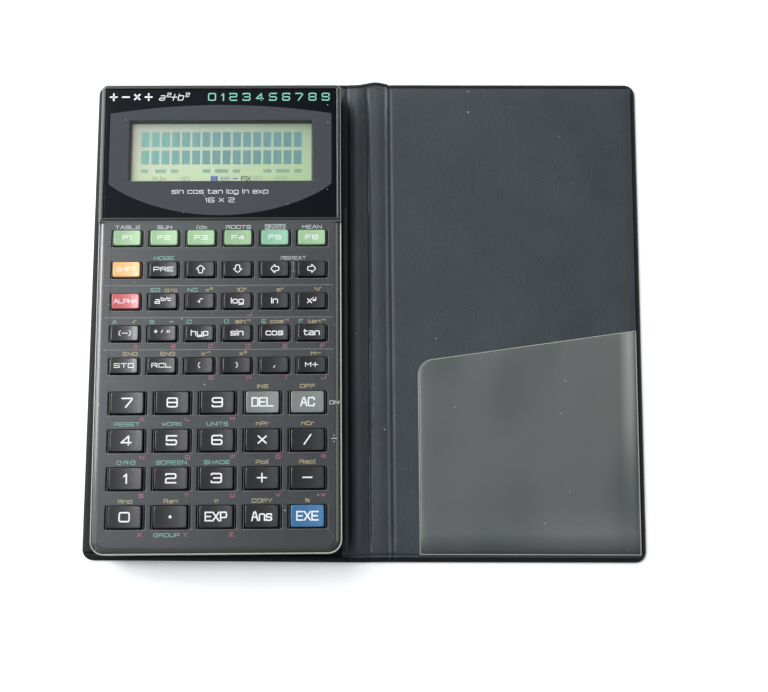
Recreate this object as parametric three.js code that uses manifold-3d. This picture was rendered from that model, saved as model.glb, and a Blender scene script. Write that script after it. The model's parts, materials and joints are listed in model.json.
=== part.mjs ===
// A pocket scientific calculator lying in its opened vinyl wallet.
// Millimetres, +Z up. The origin is the middle of the opened wallet, on the surface that it lies on.
// +X runs from the calculator across the spine to the cover, and +Y towards the display end.
import * as THREE from "three";
import { mergeVertices } from "three/addons/utils/BufferGeometryUtils.js";
import Module from "manifold-3d";

const wasm = await Module();
wasm.setup();

// ---- Calculator face, seen from above ----
const CALCULATOR_WIDTH = 72.6;
const DISPLAY_LENGTH = 43.1; // the raised display end, from the top edge to its step
const FIRST_ROW_DROP = 5.1; // step to the middle of the function row
const SMALL_ROW_PITCH = 9.65;
const BLOCK_STEP = 11; // middle of the last small row to the middle of the first large row
const LARGE_ROW_PITCH = 11.05;
const BOTTOM_MARGIN = 10.65; // middle of the last row to the bottom edge
const TOP_CORNER = 1.4;
const BOTTOM_CORNER = 4;
const RIM_BEVEL = 1.4;
const RIM_DROP = 1;

// ---- Keys ----
const SMALL_SIDE_MARGIN = 8.8; // side of the case to the middle of the first column
const SMALL_WEB = 1.4; // wall between two holes in a row
const SMALL_HOLE_HEIGHT = 5.2;
const LARGE_SIDE_MARGIN = 10;
const LARGE_WEB = 1.55;
const LARGE_HOLE_HEIGHT = 7;
const HOLE_CORNER = 0.5;
const HOLE_CLEARANCE = 0.25;
const KEY_SLOPE_X = 0.65;
const KEY_SLOPE_Y = 0.2;
const KEY_PROUD = 0.9;
const KEY_TRAVEL = 0.9;
const FLANGE_OVERHANG = 0.35;
const FLANGE_THICKNESS = 0.6;

// ---- What is stacked inside the case ----
const SEAT_GAP = 0.1; // left between two pieces that rest on each other
const REAR_FLOOR = 1.2;
const CASE_WALL = 1.3;
const REAR_CASE_HEIGHT = 4.3;
const REAR_CHAMFER = 0.8;
const BATTERY_DIAMETER = 20;
const BATTERY_THICKNESS = 3.2;
const BATTERY_CLEARANCE = 0.2;
const BATTERY_RING_WALL = 1;
const BATTERY_RING_HEIGHT = 2;
const BOARD_THICKNESS = 1;
const BOARD_CLEARANCE = 0.5;
const BOSS_RADIUS = 2.2;
const BOSS_INSET = 5;
const CHIP_SIZE = 14;
const CHIP_THICKNESS = 1.2;
const MEMBRANE_THICKNESS = 0.6;
const MEMBRANE_INSET = 2;
const DOME_SIZE = 3.4;
const DOME_HEIGHT = 0.3;
const FACE_WALL = 1.6;

// ---- Display ----
const DISPLAY_STEP = 0.5; // the display end stands this far above the keypad
const PLATE_THICKNESS = 1;
const PLATE_MARGIN = 1.4;
const PLATE_FOOT_MARGIN = 0.8; // between the plate's lower edge and the step
const PLATE_CLEARANCE = 0.15;
const PLATE_DROP = 0.1;
const WINDOW_WIDTH = 54.8;
const WINDOW_HEIGHT = 18.6;
const WINDOW_DROP = 11.8; // top edge of the case to the top of the window
const LCD_OVERHANG = 2;
const LCD_THICKNESS = 2.2;

// ---- Wallet ----
const PANEL_THICKNESS = 1.5;
const LEFT_MARGIN = 3;
const RIGHT_MARGIN = 2;
const TOP_MARGIN = 4.15;
const FOOT_MARGIN = 2.35;
const COVER_SHORTER = 1.8;
const WALLET_CORNER = 2;
const FOLD_GAP = 0.3;
const CLOSING_CLEARANCE = 0.6;
const POCKET_RISE = 0.8;
const POCKET_FILM = 0.35;
const POCKET_SLOT = 0.35; // height of the space for a card under the film
const POCKET_WELD = 2.5;
const POCKET_EDGE_INSET = 1;
const POCKET_INNER_MARGIN = 8.4;
const POCKET_LOW_SIDE = 58.4; // height of its short side, by the spine
const POCKET_HIGH_SIDE = 68.2; // height of its tall side, by the free edge
const POCKET_CORNER = 5;

// ---- How joined and cut shapes run past each other ----
const JOIN_DEPTH = 0.3; // a shape joined onto a face starts this far under it
const CUT_PAST = 1; // a cut runs this far past the faces that it opens
const LEAST_CORNER = 0.01; // radius of a corner that is in effect square

// ---- Colours ----
const COLOURS = {
  vinyl: "#34373b",
  case: "#3c3f42",
  window: "#14181d",
  glass: "#b9c49b",
  rubber: "#6b6f72",
  board: "#2f6b3d",
  steel: "#b8babd",
  dark: "#26282b",
  green: "#9cc48e",
  teal: "#86c0a2",
  orange: "#f0bd6c",
  red: "#d9534f",
  grey: "#7d827d",
  blue: "#3f78b5",
};

// ---- Keys, row by row: name and colour ----
const dark = (...names) => names.map((name) => [name, "dark"]);
const SMALL_ROWS = [
  [
    ["f1", "green"],
    ["f2", "green"],
    ["f3", "green"],
    ["f4", "green"],
    ["f5", "teal"],
    ["f6", "green"],
  ],
  [["shift", "orange"], ...dark("preset", "up", "down", "left", "right")],
  [["alpha", "red"], ...dark("fraction", "root", "log", "ln", "power")],
  dark("negative", "degrees", "hyp", "sin", "cos", "tan"),
  dark("store", "recall", "open_bracket", "close_bracket", "comma", "memory_plus"),
];
const LARGE_ROWS = [
  [...dark("7", "8", "9"), ["delete", "grey"], ["all_clear", "grey"]],
  dark("4", "5", "6", "multiply", "divide"),
  dark("1", "2", "3", "plus", "minus"),
  [...dark("0", "point", "exponent", "answer"), ["execute", "blue"]],
];

// ---- Heights that follow from the stack ----
const CASE_BOTTOM = PANEL_THICKNESS + SEAT_GAP;
const FLOOR_TOP = CASE_BOTTOM + REAR_FLOOR;
const BATTERY_BOTTOM = FLOOR_TOP + SEAT_GAP;
const BOARD_BOTTOM = BATTERY_BOTTOM + BATTERY_THICKNESS + BATTERY_CLEARANCE;
const BOARD_TOP = BOARD_BOTTOM + BOARD_THICKNESS;
const MEMBRANE_BOTTOM = BOARD_TOP + SEAT_GAP;
const MEMBRANE_TOP = MEMBRANE_BOTTOM + MEMBRANE_THICKNESS;
const DOME_TOP = MEMBRANE_TOP + DOME_HEIGHT;
const KEY_BOTTOM = DOME_TOP + SEAT_GAP + KEY_TRAVEL;
const FLANGE_TOP = KEY_BOTTOM + FLANGE_THICKNESS;
const FACE_UNDERSIDE = FLANGE_TOP + SEAT_GAP;
const FACE_TOP = FACE_UNDERSIDE + FACE_WALL;
const DISPLAY_TOP = FACE_TOP + DISPLAY_STEP;
const KEY_TOP = FACE_TOP + KEY_PROUD;
const REAR_TOP = CASE_BOTTOM + REAR_CASE_HEIGHT;
const PLATE_TOP = DISPLAY_TOP - PLATE_DROP;
const PLATE_BOTTOM = PLATE_TOP - PLATE_THICKNESS;
const LCD_TOP = FACE_UNDERSIDE - SEAT_GAP;

// ---- Plan sizes that follow ----
const CALCULATOR_LENGTH =
  DISPLAY_LENGTH +
  FIRST_ROW_DROP +
  (SMALL_ROWS.length - 1) * SMALL_ROW_PITCH +
  BLOCK_STEP +
  (LARGE_ROWS.length - 1) * LARGE_ROW_PITCH +
  BOTTOM_MARGIN;
const SPINE_WIDTH = KEY_TOP - PANEL_THICKNESS + POCKET_RISE + CLOSING_CLEARANCE;
const BACK_WIDTH = LEFT_MARGIN + CALCULATOR_WIDTH + RIGHT_MARGIN;
const COVER_WIDTH = BACK_WIDTH - COVER_SHORTER;
const WALLET_WIDTH = BACK_WIDTH + SPINE_WIDTH + COVER_WIDTH;
const WALLET_LENGTH = CALCULATOR_LENGTH + TOP_MARGIN + FOOT_MARGIN;

const WALLET = {
  left: -WALLET_WIDTH / 2,
  right: WALLET_WIDTH / 2,
  bottom: -WALLET_LENGTH / 2,
  top: WALLET_LENGTH / 2,
};
const SPINE_FOLD = WALLET.left + BACK_WIDTH;
const COVER_FOLD = SPINE_FOLD + SPINE_WIDTH;

const CASE = {
  left: WALLET.left + LEFT_MARGIN,
  right: WALLET.left + LEFT_MARGIN + CALCULATOR_WIDTH,
  bottom: WALLET.bottom + FOOT_MARGIN,
  top: WALLET.top - TOP_MARGIN,
};
const CASE_MIDDLE = (CASE.left + CASE.right) / 2;
const STEP_Y = CASE.top - DISPLAY_LENGTH;

// ---- Solids ----

// The rectangle moved inwards on all sides.
function inset(rectangle, distance) {
  return {
    left: rectangle.left + distance,
    right: rectangle.right - distance,
    bottom: rectangle.bottom + distance,
    top: rectangle.top - distance,
  };
}

// A rectangle of a given size about a point.
function around(x, y, width, height) {
  return { left: x - width / 2, right: x + width / 2, bottom: y - height / 2, top: y + height / 2 };
}

// Points anticlockwise round a rectangle whose corners are arcs of the given radii.
// The radii run bottom left, bottom right, top right, top left.
function outline(rectangle, radii, steps) {
  const { left, right, bottom, top } = rectangle;
  const corners = [
    [left, bottom, 1, 1, Math.PI],
    [right, bottom, -1, 1, 1.5 * Math.PI],
    [right, top, -1, -1, 0],
    [left, top, 1, -1, 0.5 * Math.PI],
  ];
  return corners.flatMap(([x, y, inX, inY, start], index) => {
    const radius = Math.max(radii[index], LEAST_CORNER);
    return Array.from({ length: steps + 1 }, (_, step) => {
      const angle = start + (step / steps) * 0.5 * Math.PI;
      return [
        x + inX * radius + radius * Math.cos(angle),
        y + inY * radius + radius * Math.sin(angle),
      ];
    });
  });
}

// A closed geometry through a stack of rings, [points, height], from the lowest up.
function loft(rings) {
  const count = rings[0][0].length;
  const positions = rings.flatMap(([points, height]) => points.flatMap(([x, y]) => [x, y, height]));
  const index = [];
  for (let level = 0; level < rings.length - 1; level++) {
    for (let i = 0; i < count; i++) {
      const next = (i + 1) % count;
      const low = level * count;
      const high = low + count;
      index.push(low + i, low + next, high + next);
      index.push(low + i, high + next, high + i);
    }
  }
  const last = (rings.length - 1) * count;
  for (let i = 1; i < count - 1; i++) {
    index.push(0, i + 1, i);
    index.push(last, last + i, last + i + 1);
  }
  const geometry = new THREE.BufferGeometry();
  geometry.setAttribute("position", new THREE.Float32BufferAttribute(positions, 3));
  geometry.setIndex(index);
  return geometry;
}

function slab(rectangle, radii, steps, low, high) {
  const points = outline(rectangle, radii, steps);
  return loft([
    [points, low],
    [points, high],
  ]);
}

function plainSlab(rectangle, low, high) {
  const geometry = new THREE.BoxGeometry(
    rectangle.right - rectangle.left,
    rectangle.top - rectangle.bottom,
    high - low,
  );
  const x = (rectangle.left + rectangle.right) / 2;
  const y = (rectangle.bottom + rectangle.top) / 2;
  return geometry.translate(x, y, (low + high) / 2);
}

function disc(x, y, radius, low, high, sides) {
  const geometry = new THREE.CylinderGeometry(radius, radius, high - low, sides);
  return geometry.rotateX(Math.PI / 2).translate(x, y, (low + high) / 2);
}

function toSolid(geometry) {
  const bare = geometry.clone();
  bare.deleteAttribute("normal");
  bare.deleteAttribute("uv");
  const merged = mergeVertices(bare, 1e-4);
  return new wasm.Manifold(
    new wasm.Mesh({
      numProp: 3,
      vertProperties: new Float32Array(merged.attributes.position.array),
      triVerts: new Uint32Array(merged.index.array),
    }),
  );
}

function toGeometry(solid) {
  const mesh = solid.getMesh();
  const geometry = new THREE.BufferGeometry();
  geometry.setAttribute("position", new THREE.BufferAttribute(new Float32Array(mesh.vertProperties), 3));
  geometry.setIndex(new THREE.BufferAttribute(new Uint32Array(mesh.triVerts), 1));
  geometry.computeVertexNormals();
  return geometry;
}

// One solid out of joined geometries, with others cut out of it.
function combine(joined, cut = []) {
  const body = joined.map(toSolid).reduce((a, b) => a.add(b));
  return toGeometry(cut.map(toSolid).reduce((a, b) => a.subtract(b), body));
}

// ---- Key places ----
const SMALL_KEY = { margin: SMALL_SIDE_MARGIN, web: SMALL_WEB, holeHeight: SMALL_HOLE_HEIGHT };
const LARGE_KEY = { margin: LARGE_SIDE_MARGIN, web: LARGE_WEB, holeHeight: LARGE_HOLE_HEIGHT };

function placeRow(names, y, kind) {
  const pitch = (CALCULATOR_WIDTH - 2 * kind.margin) / (names.length - 1);
  return names.map(([name, colour], column) => ({
    name: "key_" + name,
    colour,
    x: CASE.left + kind.margin + column * pitch,
    y,
    holeWidth: pitch - kind.web,
    holeHeight: kind.holeHeight,
  }));
}

function placeKeys() {
  const firstSmall = STEP_Y - FIRST_ROW_DROP;
  const lastSmall = firstSmall - (SMALL_ROWS.length - 1) * SMALL_ROW_PITCH;
  const firstLarge = lastSmall - BLOCK_STEP;
  return [
    ...SMALL_ROWS.flatMap((row, i) => placeRow(row, firstSmall - i * SMALL_ROW_PITCH, SMALL_KEY)),
    ...LARGE_ROWS.flatMap((row, i) => placeRow(row, firstLarge - i * LARGE_ROW_PITCH, LARGE_KEY)),
  ];
}

const KEYS = placeKeys();

// ---- Calculator ----

// A cap that narrows upwards, on a flange that stops it against the underside of the face.
function keyGeometry(key) {
  const ring = (width, height) => {
    const radii = Array(4).fill(HOLE_CORNER);
    return outline(around(key.x, key.y, width, height), radii, 1);
  };
  const neckWidth = key.holeWidth - 2 * HOLE_CLEARANCE;
  const neckHeight = key.holeHeight - 2 * HOLE_CLEARANCE;
  const flange = ring(key.holeWidth + 2 * FLANGE_OVERHANG, key.holeHeight + 2 * FLANGE_OVERHANG);
  const neck = ring(neckWidth, neckHeight);
  return loft([
    [flange, KEY_BOTTOM],
    [flange, FLANGE_TOP],
    [neck, FLANGE_TOP],
    [neck, FACE_TOP],
    [ring(neckWidth - 2 * KEY_SLOPE_X, neckHeight - 2 * KEY_SLOPE_Y), KEY_TOP],
  ]);
}

const CORNER_STEPS = 4;
const CASE_RADII = [BOTTOM_CORNER, BOTTOM_CORNER, TOP_CORNER, TOP_CORNER];

function caseRing(distance, height) {
  const radii = CASE_RADII.map((radius) => radius - Math.min(distance, 0.6 * radius));
  return [outline(inset(CASE, distance), radii, CORNER_STEPS), height];
}

const windowOpening = {
  left: CASE_MIDDLE - WINDOW_WIDTH / 2,
  right: CASE_MIDDLE + WINDOW_WIDTH / 2,
  bottom: CASE.top - WINDOW_DROP - WINDOW_HEIGHT,
  top: CASE.top - WINDOW_DROP,
};
const plateRecess = {
  left: CASE.left + PLATE_MARGIN,
  right: CASE.right - PLATE_MARGIN,
  bottom: STEP_Y + PLATE_FOOT_MARGIN,
  top: CASE.top - PLATE_MARGIN,
};

function displayBlock() {
  const base = { ...inset(CASE, RIM_BEVEL / 2), bottom: STEP_Y };
  const crown = { ...inset(CASE, RIM_BEVEL), bottom: STEP_Y };
  const radii = [0, 0, TOP_CORNER, TOP_CORNER];
  return loft([
    [outline(base, radii, CORNER_STEPS), FACE_TOP - RIM_DROP],
    [outline(crown, radii, CORNER_STEPS), DISPLAY_TOP],
  ]);
}

function frontCase() {
  const shell = loft([
    caseRing(0, REAR_TOP + SEAT_GAP),
    caseRing(0, FACE_TOP - RIM_DROP),
    caseRing(RIM_BEVEL, FACE_TOP),
  ]);
  const hollow = loft([caseRing(CASE_WALL, REAR_TOP), caseRing(CASE_WALL, FACE_UNDERSIDE)]);
  const holes = KEYS.map((key) =>
    slab(
      around(key.x, key.y, key.holeWidth, key.holeHeight),
      Array(4).fill(HOLE_CORNER),
      1,
      FACE_UNDERSIDE - CUT_PAST,
      FACE_TOP + CUT_PAST,
    ),
  );
  const recess = plainSlab(plateRecess, PLATE_BOTTOM - SEAT_GAP, DISPLAY_TOP + CUT_PAST);
  const opening = plainSlab(windowOpening, FACE_UNDERSIDE - CUT_PAST, DISPLAY_TOP + CUT_PAST);
  return combine([shell, displayBlock()], [hollow, ...holes, recess, opening]);
}

const BATTERY_PLACE = [CASE_MIDDLE + WINDOW_WIDTH / 4, CASE.top - DISPLAY_LENGTH / 2];

function batteryRing() {
  const inner = BATTERY_DIAMETER / 2 + BATTERY_CLEARANCE;
  const outer = inner + BATTERY_RING_WALL;
  const low = FLOOR_TOP - JOIN_DEPTH;
  const high = FLOOR_TOP + BATTERY_RING_HEIGHT;
  const profile = [
    [inner, low],
    [outer, low],
    [outer, high],
    [inner, high],
    [inner, low],
  ].map(([r, z]) => new THREE.Vector2(r, z));
  const ring = new THREE.LatheGeometry(profile, 32);
  return ring.rotateX(Math.PI / 2).translate(...BATTERY_PLACE, 0);
}

function boardBosses() {
  const places = inset(CASE, CASE_WALL + BOSS_INSET);
  return [places.left, places.right].flatMap((x) =>
    [places.bottom, places.top].map((y) =>
      disc(x, y, BOSS_RADIUS, FLOOR_TOP - JOIN_DEPTH, BOARD_BOTTOM - SEAT_GAP, 16),
    ),
  );
}

function rearCase() {
  const shell = loft([
    caseRing(REAR_CHAMFER, CASE_BOTTOM),
    caseRing(0, CASE_BOTTOM + REAR_CHAMFER),
    caseRing(0, REAR_TOP),
  ]);
  const hollow = loft([caseRing(CASE_WALL, FLOOR_TOP), caseRing(CASE_WALL, REAR_TOP + CUT_PAST)]);
  const tray = combine([shell], [hollow]);
  return combine([tray, batteryRing(), ...boardBosses()]);
}

function displayWindow() {
  return plainSlab(inset(plateRecess, PLATE_CLEARANCE), PLATE_BOTTOM, PLATE_TOP);
}

function lcdGlass() {
  return plainSlab(inset(windowOpening, -LCD_OVERHANG), LCD_TOP - LCD_THICKNESS, LCD_TOP);
}

// The board, with its chip on the underside beside the battery.
// Its lower corners are notched to clear the round corners of the case.
function circuitBoard() {
  const edge = inset(CASE, CASE_WALL + BOARD_CLEARANCE);
  const board = plainSlab(edge, BOARD_BOTTOM, BOARD_TOP);
  const chip = plainSlab(
    around(CASE_MIDDLE - WINDOW_WIDTH / 4, BATTERY_PLACE[1], CHIP_SIZE, CHIP_SIZE),
    BOARD_BOTTOM - CHIP_THICKNESS,
    BOARD_BOTTOM + JOIN_DEPTH,
  );
  const notches = [edge.left, edge.right].map((x) =>
    plainSlab(
      around(x, edge.bottom, BOTTOM_CORNER, BOTTOM_CORNER),
      BOARD_BOTTOM - CUT_PAST,
      BOARD_TOP + CUT_PAST,
    ),
  );
  return combine([board, chip], notches);
}

function keyMembrane() {
  const sheet = plainSlab(
    {
      left: CASE.left + CASE_WALL + MEMBRANE_INSET,
      right: CASE.right - CASE_WALL - MEMBRANE_INSET,
      bottom: CASE.bottom + CASE_WALL + MEMBRANE_INSET,
      top: STEP_Y,
    },
    MEMBRANE_BOTTOM,
    MEMBRANE_TOP,
  );
  const domes = KEYS.map((key) =>
    plainSlab(
      around(key.x, key.y, DOME_SIZE, DOME_SIZE),
      MEMBRANE_TOP - JOIN_DEPTH,
      DOME_TOP,
    ),
  );
  return combine([sheet, ...domes]);
}

function battery() {
  return disc(
    ...BATTERY_PLACE,
    BATTERY_DIAMETER / 2,
    BATTERY_BOTTOM,
    BATTERY_BOTTOM + BATTERY_THICKNESS,
    32,
  );
}

// ---- Wallet ----

function walletBack() {
  const plan = { ...WALLET, right: SPINE_FOLD - FOLD_GAP / 2 };
  return slab(plan, [WALLET_CORNER, 0, 0, WALLET_CORNER], CORNER_STEPS, 0, PANEL_THICKNESS);
}

function walletSpine() {
  const plan = { ...WALLET, left: SPINE_FOLD + FOLD_GAP / 2, right: COVER_FOLD - FOLD_GAP / 2 };
  return plainSlab(plan, 0, PANEL_THICKNESS);
}

// The card pocket's outline, pulled in by a distance and with its mouth raised by another.
function pocketShape(distance, mouthRise) {
  const left = COVER_FOLD + POCKET_INNER_MARGIN + distance;
  const right = WALLET.right - POCKET_EDGE_INSET - distance;
  const bottom = WALLET.bottom + POCKET_EDGE_INSET + distance;
  const low = WALLET.bottom + POCKET_EDGE_INSET + POCKET_LOW_SIDE + mouthRise;
  const high = WALLET.bottom + POCKET_EDGE_INSET + POCKET_HIGH_SIDE + mouthRise;
  const shape = new THREE.Shape();
  shape.moveTo(left, bottom);
  shape.lineTo(right, bottom);
  shape.lineTo(right, high);
  shape.lineTo(left + POCKET_CORNER, low);
  shape.quadraticCurveTo(left, low, left, low - POCKET_CORNER);
  return shape;
}

function extruded(shape, low, high) {
  const geometry = new THREE.ExtrudeGeometry(shape, {
    depth: high - low,
    bevelEnabled: false,
    curveSegments: CORNER_STEPS,
  });
  return geometry.translate(0, 0, low);
}

// The cover, with the film of its card pocket welded on round three sides and open along its mouth.
function walletCover() {
  const plan = { ...WALLET, left: COVER_FOLD + FOLD_GAP / 2 };
  const radii = [0, WALLET_CORNER, WALLET_CORNER, 0];
  const panel = slab(plan, radii, CORNER_STEPS, 0, PANEL_THICKNESS);
  const slotBottom = PANEL_THICKNESS + POCKET_RISE - POCKET_FILM - POCKET_SLOT;
  const film = extruded(pocketShape(0, 0), PANEL_THICKNESS - JOIN_DEPTH, PANEL_THICKNESS + POCKET_RISE);
  const slot = extruded(pocketShape(POCKET_WELD, 2 * POCKET_WELD), slotBottom, slotBottom + POCKET_SLOT);
  return combine([panel, film], [slot]);
}

// ---- Assembly ----

function material(colour, roughness, metalness = 0) {
  return new THREE.MeshStandardMaterial({ color: COLOURS[colour], roughness, metalness });
}

function piece(name, geometry, finish) {
  const mesh = new THREE.Mesh(geometry, finish);
  mesh.name = name;
  return mesh;
}

const calculator = new THREE.Group();
calculator.add(
  piece("front_case", frontCase(), material("case", 0.4)),
  piece("rear_case", rearCase(), material("case", 0.5)),
  piece("display_window", displayWindow(), material("window", 0.1)),
  piece("lcd_glass", lcdGlass(), material("glass", 0.3)),
  piece("key_membrane", keyMembrane(), material("rubber", 0.8)),
  piece("circuit_board", circuitBoard(), material("board", 0.5)),
  piece("battery", battery(), material("steel", 0.3, 0.9)),
);
for (const key of KEYS) {
  calculator.add(piece(key.name, keyGeometry(key), material(key.colour, 0.35)));
}

const wallet = new THREE.Group();
wallet.add(
  piece("wallet_back", walletBack(), material("vinyl", 0.55)),
  piece("wallet_spine", walletSpine(), material("vinyl", 0.55)),
  piece("wallet_cover", walletCover(), material("vinyl", 0.55)),
);

const part = new THREE.Group();
part.add(wallet, calculator);

export default part;
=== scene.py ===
"""A pocket scientific calculator in its opened vinyl wallet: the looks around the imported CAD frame.

Everything is in metres, in the frame's own axes. +X runs from the calculator to the wallet's cover, and +Y
to the display.
"""

import json
import math

import bmesh
import bpy
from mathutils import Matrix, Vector


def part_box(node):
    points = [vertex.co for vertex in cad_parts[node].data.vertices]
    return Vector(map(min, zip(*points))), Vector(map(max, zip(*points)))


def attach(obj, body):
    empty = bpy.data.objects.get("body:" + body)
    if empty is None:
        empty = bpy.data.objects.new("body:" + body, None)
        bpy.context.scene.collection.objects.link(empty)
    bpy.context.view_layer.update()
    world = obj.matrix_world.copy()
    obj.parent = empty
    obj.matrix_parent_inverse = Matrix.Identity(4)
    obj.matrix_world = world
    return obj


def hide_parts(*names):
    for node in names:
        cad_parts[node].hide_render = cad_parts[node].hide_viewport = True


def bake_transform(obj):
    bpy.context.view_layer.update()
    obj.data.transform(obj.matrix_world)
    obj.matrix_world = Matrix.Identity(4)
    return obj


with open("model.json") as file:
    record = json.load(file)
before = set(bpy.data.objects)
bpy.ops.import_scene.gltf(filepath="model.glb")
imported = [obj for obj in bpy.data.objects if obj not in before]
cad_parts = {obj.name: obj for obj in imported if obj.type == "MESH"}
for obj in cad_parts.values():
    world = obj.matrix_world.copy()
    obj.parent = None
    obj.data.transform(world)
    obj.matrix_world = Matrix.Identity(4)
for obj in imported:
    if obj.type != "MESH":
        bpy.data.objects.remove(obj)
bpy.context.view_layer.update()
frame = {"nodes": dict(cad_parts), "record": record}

MM = 0.001

# ---- Sizes of the CAD part that the boxes don't give ----
FLANGE_OVERHANG = 0.35 * MM
FOLD_GAP = 0.3 * MM
DISPLAY_STEP = 0.5 * MM
FLANGE_THICKNESS = 0.6 * MM

# ---- Places read from the frame ----
CASE_LOW, CASE_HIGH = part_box("front_case")
REAR_LOW, REAR_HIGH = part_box("rear_case")
PLATE_LOW, PLATE_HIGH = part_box("display_window")
LCD_LOW, LCD_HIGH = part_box("lcd_glass")
BACK_LOW, BACK_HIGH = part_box("wallet_back")
SPINE_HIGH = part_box("wallet_spine")[1]
COVER_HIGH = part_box("wallet_cover")[1]

LEFT, RIGHT = CASE_LOW.x, CASE_HIGH.x
FOOT, TOP = CASE_LOW.y, CASE_HIGH.y
DISPLAY_TOP = CASE_HIGH.z
FACE_TOP = DISPLAY_TOP - DISPLAY_STEP
SPLIT = CASE_LOW.z
DISPLAY_LENGTH = 43.1 * MM
STEP_Y = TOP - DISPLAY_LENGTH
SPINE_FOLD = BACK_HIGH.x + FOLD_GAP / 2
COVER_FOLD = SPINE_HIGH.x + FOLD_GAP / 2
PANEL_TOP = BACK_HIGH.z

# ---- Shapes of the visible surfaces ----
RIM = 1.95 * MM
TOP_CORNER = 1.6 * MM
BOTTOM_CORNER = 4 * MM
CORNER_STEPS = 8
FACE_THICKNESS = 1.2 * MM


def at_x(distance):
    """X of a place this many millimetres in from the case's left side."""
    return LEFT + distance * MM


def at_y(distance):
    """Y of a place this many millimetres down from the case's top edge."""
    return TOP - distance * MM


def belongs(piece, body, slot, *replaced):
    """Says which body a piece moves with and which CAD nodes it stands for; slot, naming whose finish it
    takes, is not used.
    """
    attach(piece, body)
    if replaced:
        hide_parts(*replaced)


# ---------------------------------------------------------------- materials

# Noise drawn out along Y, as (X, Y, Z) scales, from a slight lean to hairlines
WIDE_STREAKS = (1, 0.35, 1)
LONG_WRINKLES = (1, 0.22, 1)
HAIRLINES = (1, 0.06, 1)
FINE_GRAIN = 0.004 * MM
PALE_DUST = (0.5, 0.5, 0.48)
LINT = (0.55, 0.56, 0.55)
SMALL_LINT = (0.42, 0.43, 0.42)
PLATE_DUST = (0.4, 0.42, 0.43)


def feed(tree, node, inputs):
    """Links or sets a node's inputs, each from a socket or a value."""
    for name, value in inputs.items():
        if isinstance(value, bpy.types.NodeSocket):
            tree.links.new(value, node.inputs[name])
        else:
            node.inputs[name].default_value = value


def add_node(tree, kind, inputs):
    node = tree.nodes.new("ShaderNode" + kind)
    feed(tree, node, inputs)
    return node


def new_material(name):
    material = bpy.data.materials.new(name)
    material.use_nodes = True
    tree = material.node_tree
    tree.nodes.clear()
    shader = add_node(tree, "BsdfPrincipled", {})
    add_node(tree, "OutputMaterial", {"Surface": shader.outputs["BSDF"]})
    return material, tree, shader


def coordinates(tree, kind="Object"):
    return add_node(tree, "TexCoord", {}).outputs[kind]


def box_axes(tree):
    """X, Y and Z over the piece's own box, each from 0 to 1. In the world they are the view's direction."""
    return add_node(tree, "SeparateXYZ", {"Vector": coordinates(tree, "Generated")}).outputs


def noise(tree, scale, detail=3.0, roughness=0.5, stretch=None):
    """A noise texture over the object's own coordinates. The scale is in cycles per metre."""
    source = coordinates(tree)
    if stretch:
        source = add_node(tree, "Mapping", {"Vector": source, "Scale": stretch}).outputs["Vector"]
    inputs = {"Vector": source, "Scale": scale, "Detail": detail, "Roughness": roughness}
    return add_node(tree, "TexNoise", inputs).outputs["Fac"]


def ramp(tree, source, stops):
    """A colour ramp from (position, colour or grey) stops."""
    node = add_node(tree, "ValToRGB", {"Fac": source})
    elements = node.color_ramp.elements
    while len(elements) < len(stops):
        elements.new(0.5)
    for element, (position, colour) in zip(elements, stops):
        element.position = position
        grey = isinstance(colour, (int, float))
        element.color = (colour, colour, colour, 1) if grey else (*colour, 1)
    return node.outputs["Color"]


def remap(tree, source, low, high, from_low=0.0, from_high=1.0):
    inputs = {"Value": source, "From Min": from_low, "From Max": from_high, "To Min": low, "To Max": high}
    return add_node(tree, "MapRange", inputs).outputs["Result"]


def calculate(tree, operation, *values):
    """A maths node on sockets or numbers."""
    node = add_node(tree, "Math", dict(enumerate(values)))
    node.operation = operation
    return node.outputs["Value"]


def mix_colour(tree, factor, first, second, blend="MIX"):
    """Mixes two colours, each a socket or a tuple, by a socket or a number."""
    node = tree.nodes.new("ShaderNodeMix")
    node.data_type = "RGBA"
    node.blend_type = blend
    for value, name in ((factor, "Factor"), (first, "A"), (second, "B")):
        kind = "VALUE" if name == "Factor" else "RGBA"
        socket = next(s for s in node.inputs if s.name == name and s.type == kind)
        if isinstance(value, bpy.types.NodeSocket):
            tree.links.new(value, socket)
        else:
            socket.default_value = value if kind == "VALUE" else (*value, 1)
    return next(s for s in node.outputs if s.type == "RGBA")


def multiply(tree, first, second):
    return mix_colour(tree, 1.0, first, second, "MULTIPLY")


def bump(tree, shader, height, distance, strength=1.0, below=None):
    node = add_node(tree, "Bump", {"Height": height, "Distance": distance, "Strength": strength})
    if below is not None:
        feed(tree, node, {"Normal": below})
    feed(tree, shader, {"Normal": node.outputs["Normal"]})
    return node.outputs["Normal"]


def specks(tree, scale, size, share):
    """Dust: small round spots in some of a Voronoi pattern's cells, as a mask."""
    cells = add_node(tree, "TexVoronoi", {"Vector": coordinates(tree), "Scale": scale})
    near = calculate(tree, "LESS_THAN", cells.outputs["Distance"], size)
    split = add_node(tree, "SeparateColor", {"Color": cells.outputs["Color"]})
    chosen = calculate(tree, "LESS_THAN", split.outputs["Red"], share)
    return calculate(tree, "MULTIPLY", near, chosen)


def shade(colour, factor):
    return tuple(min(1, channel * factor) for channel in colour)


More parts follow.
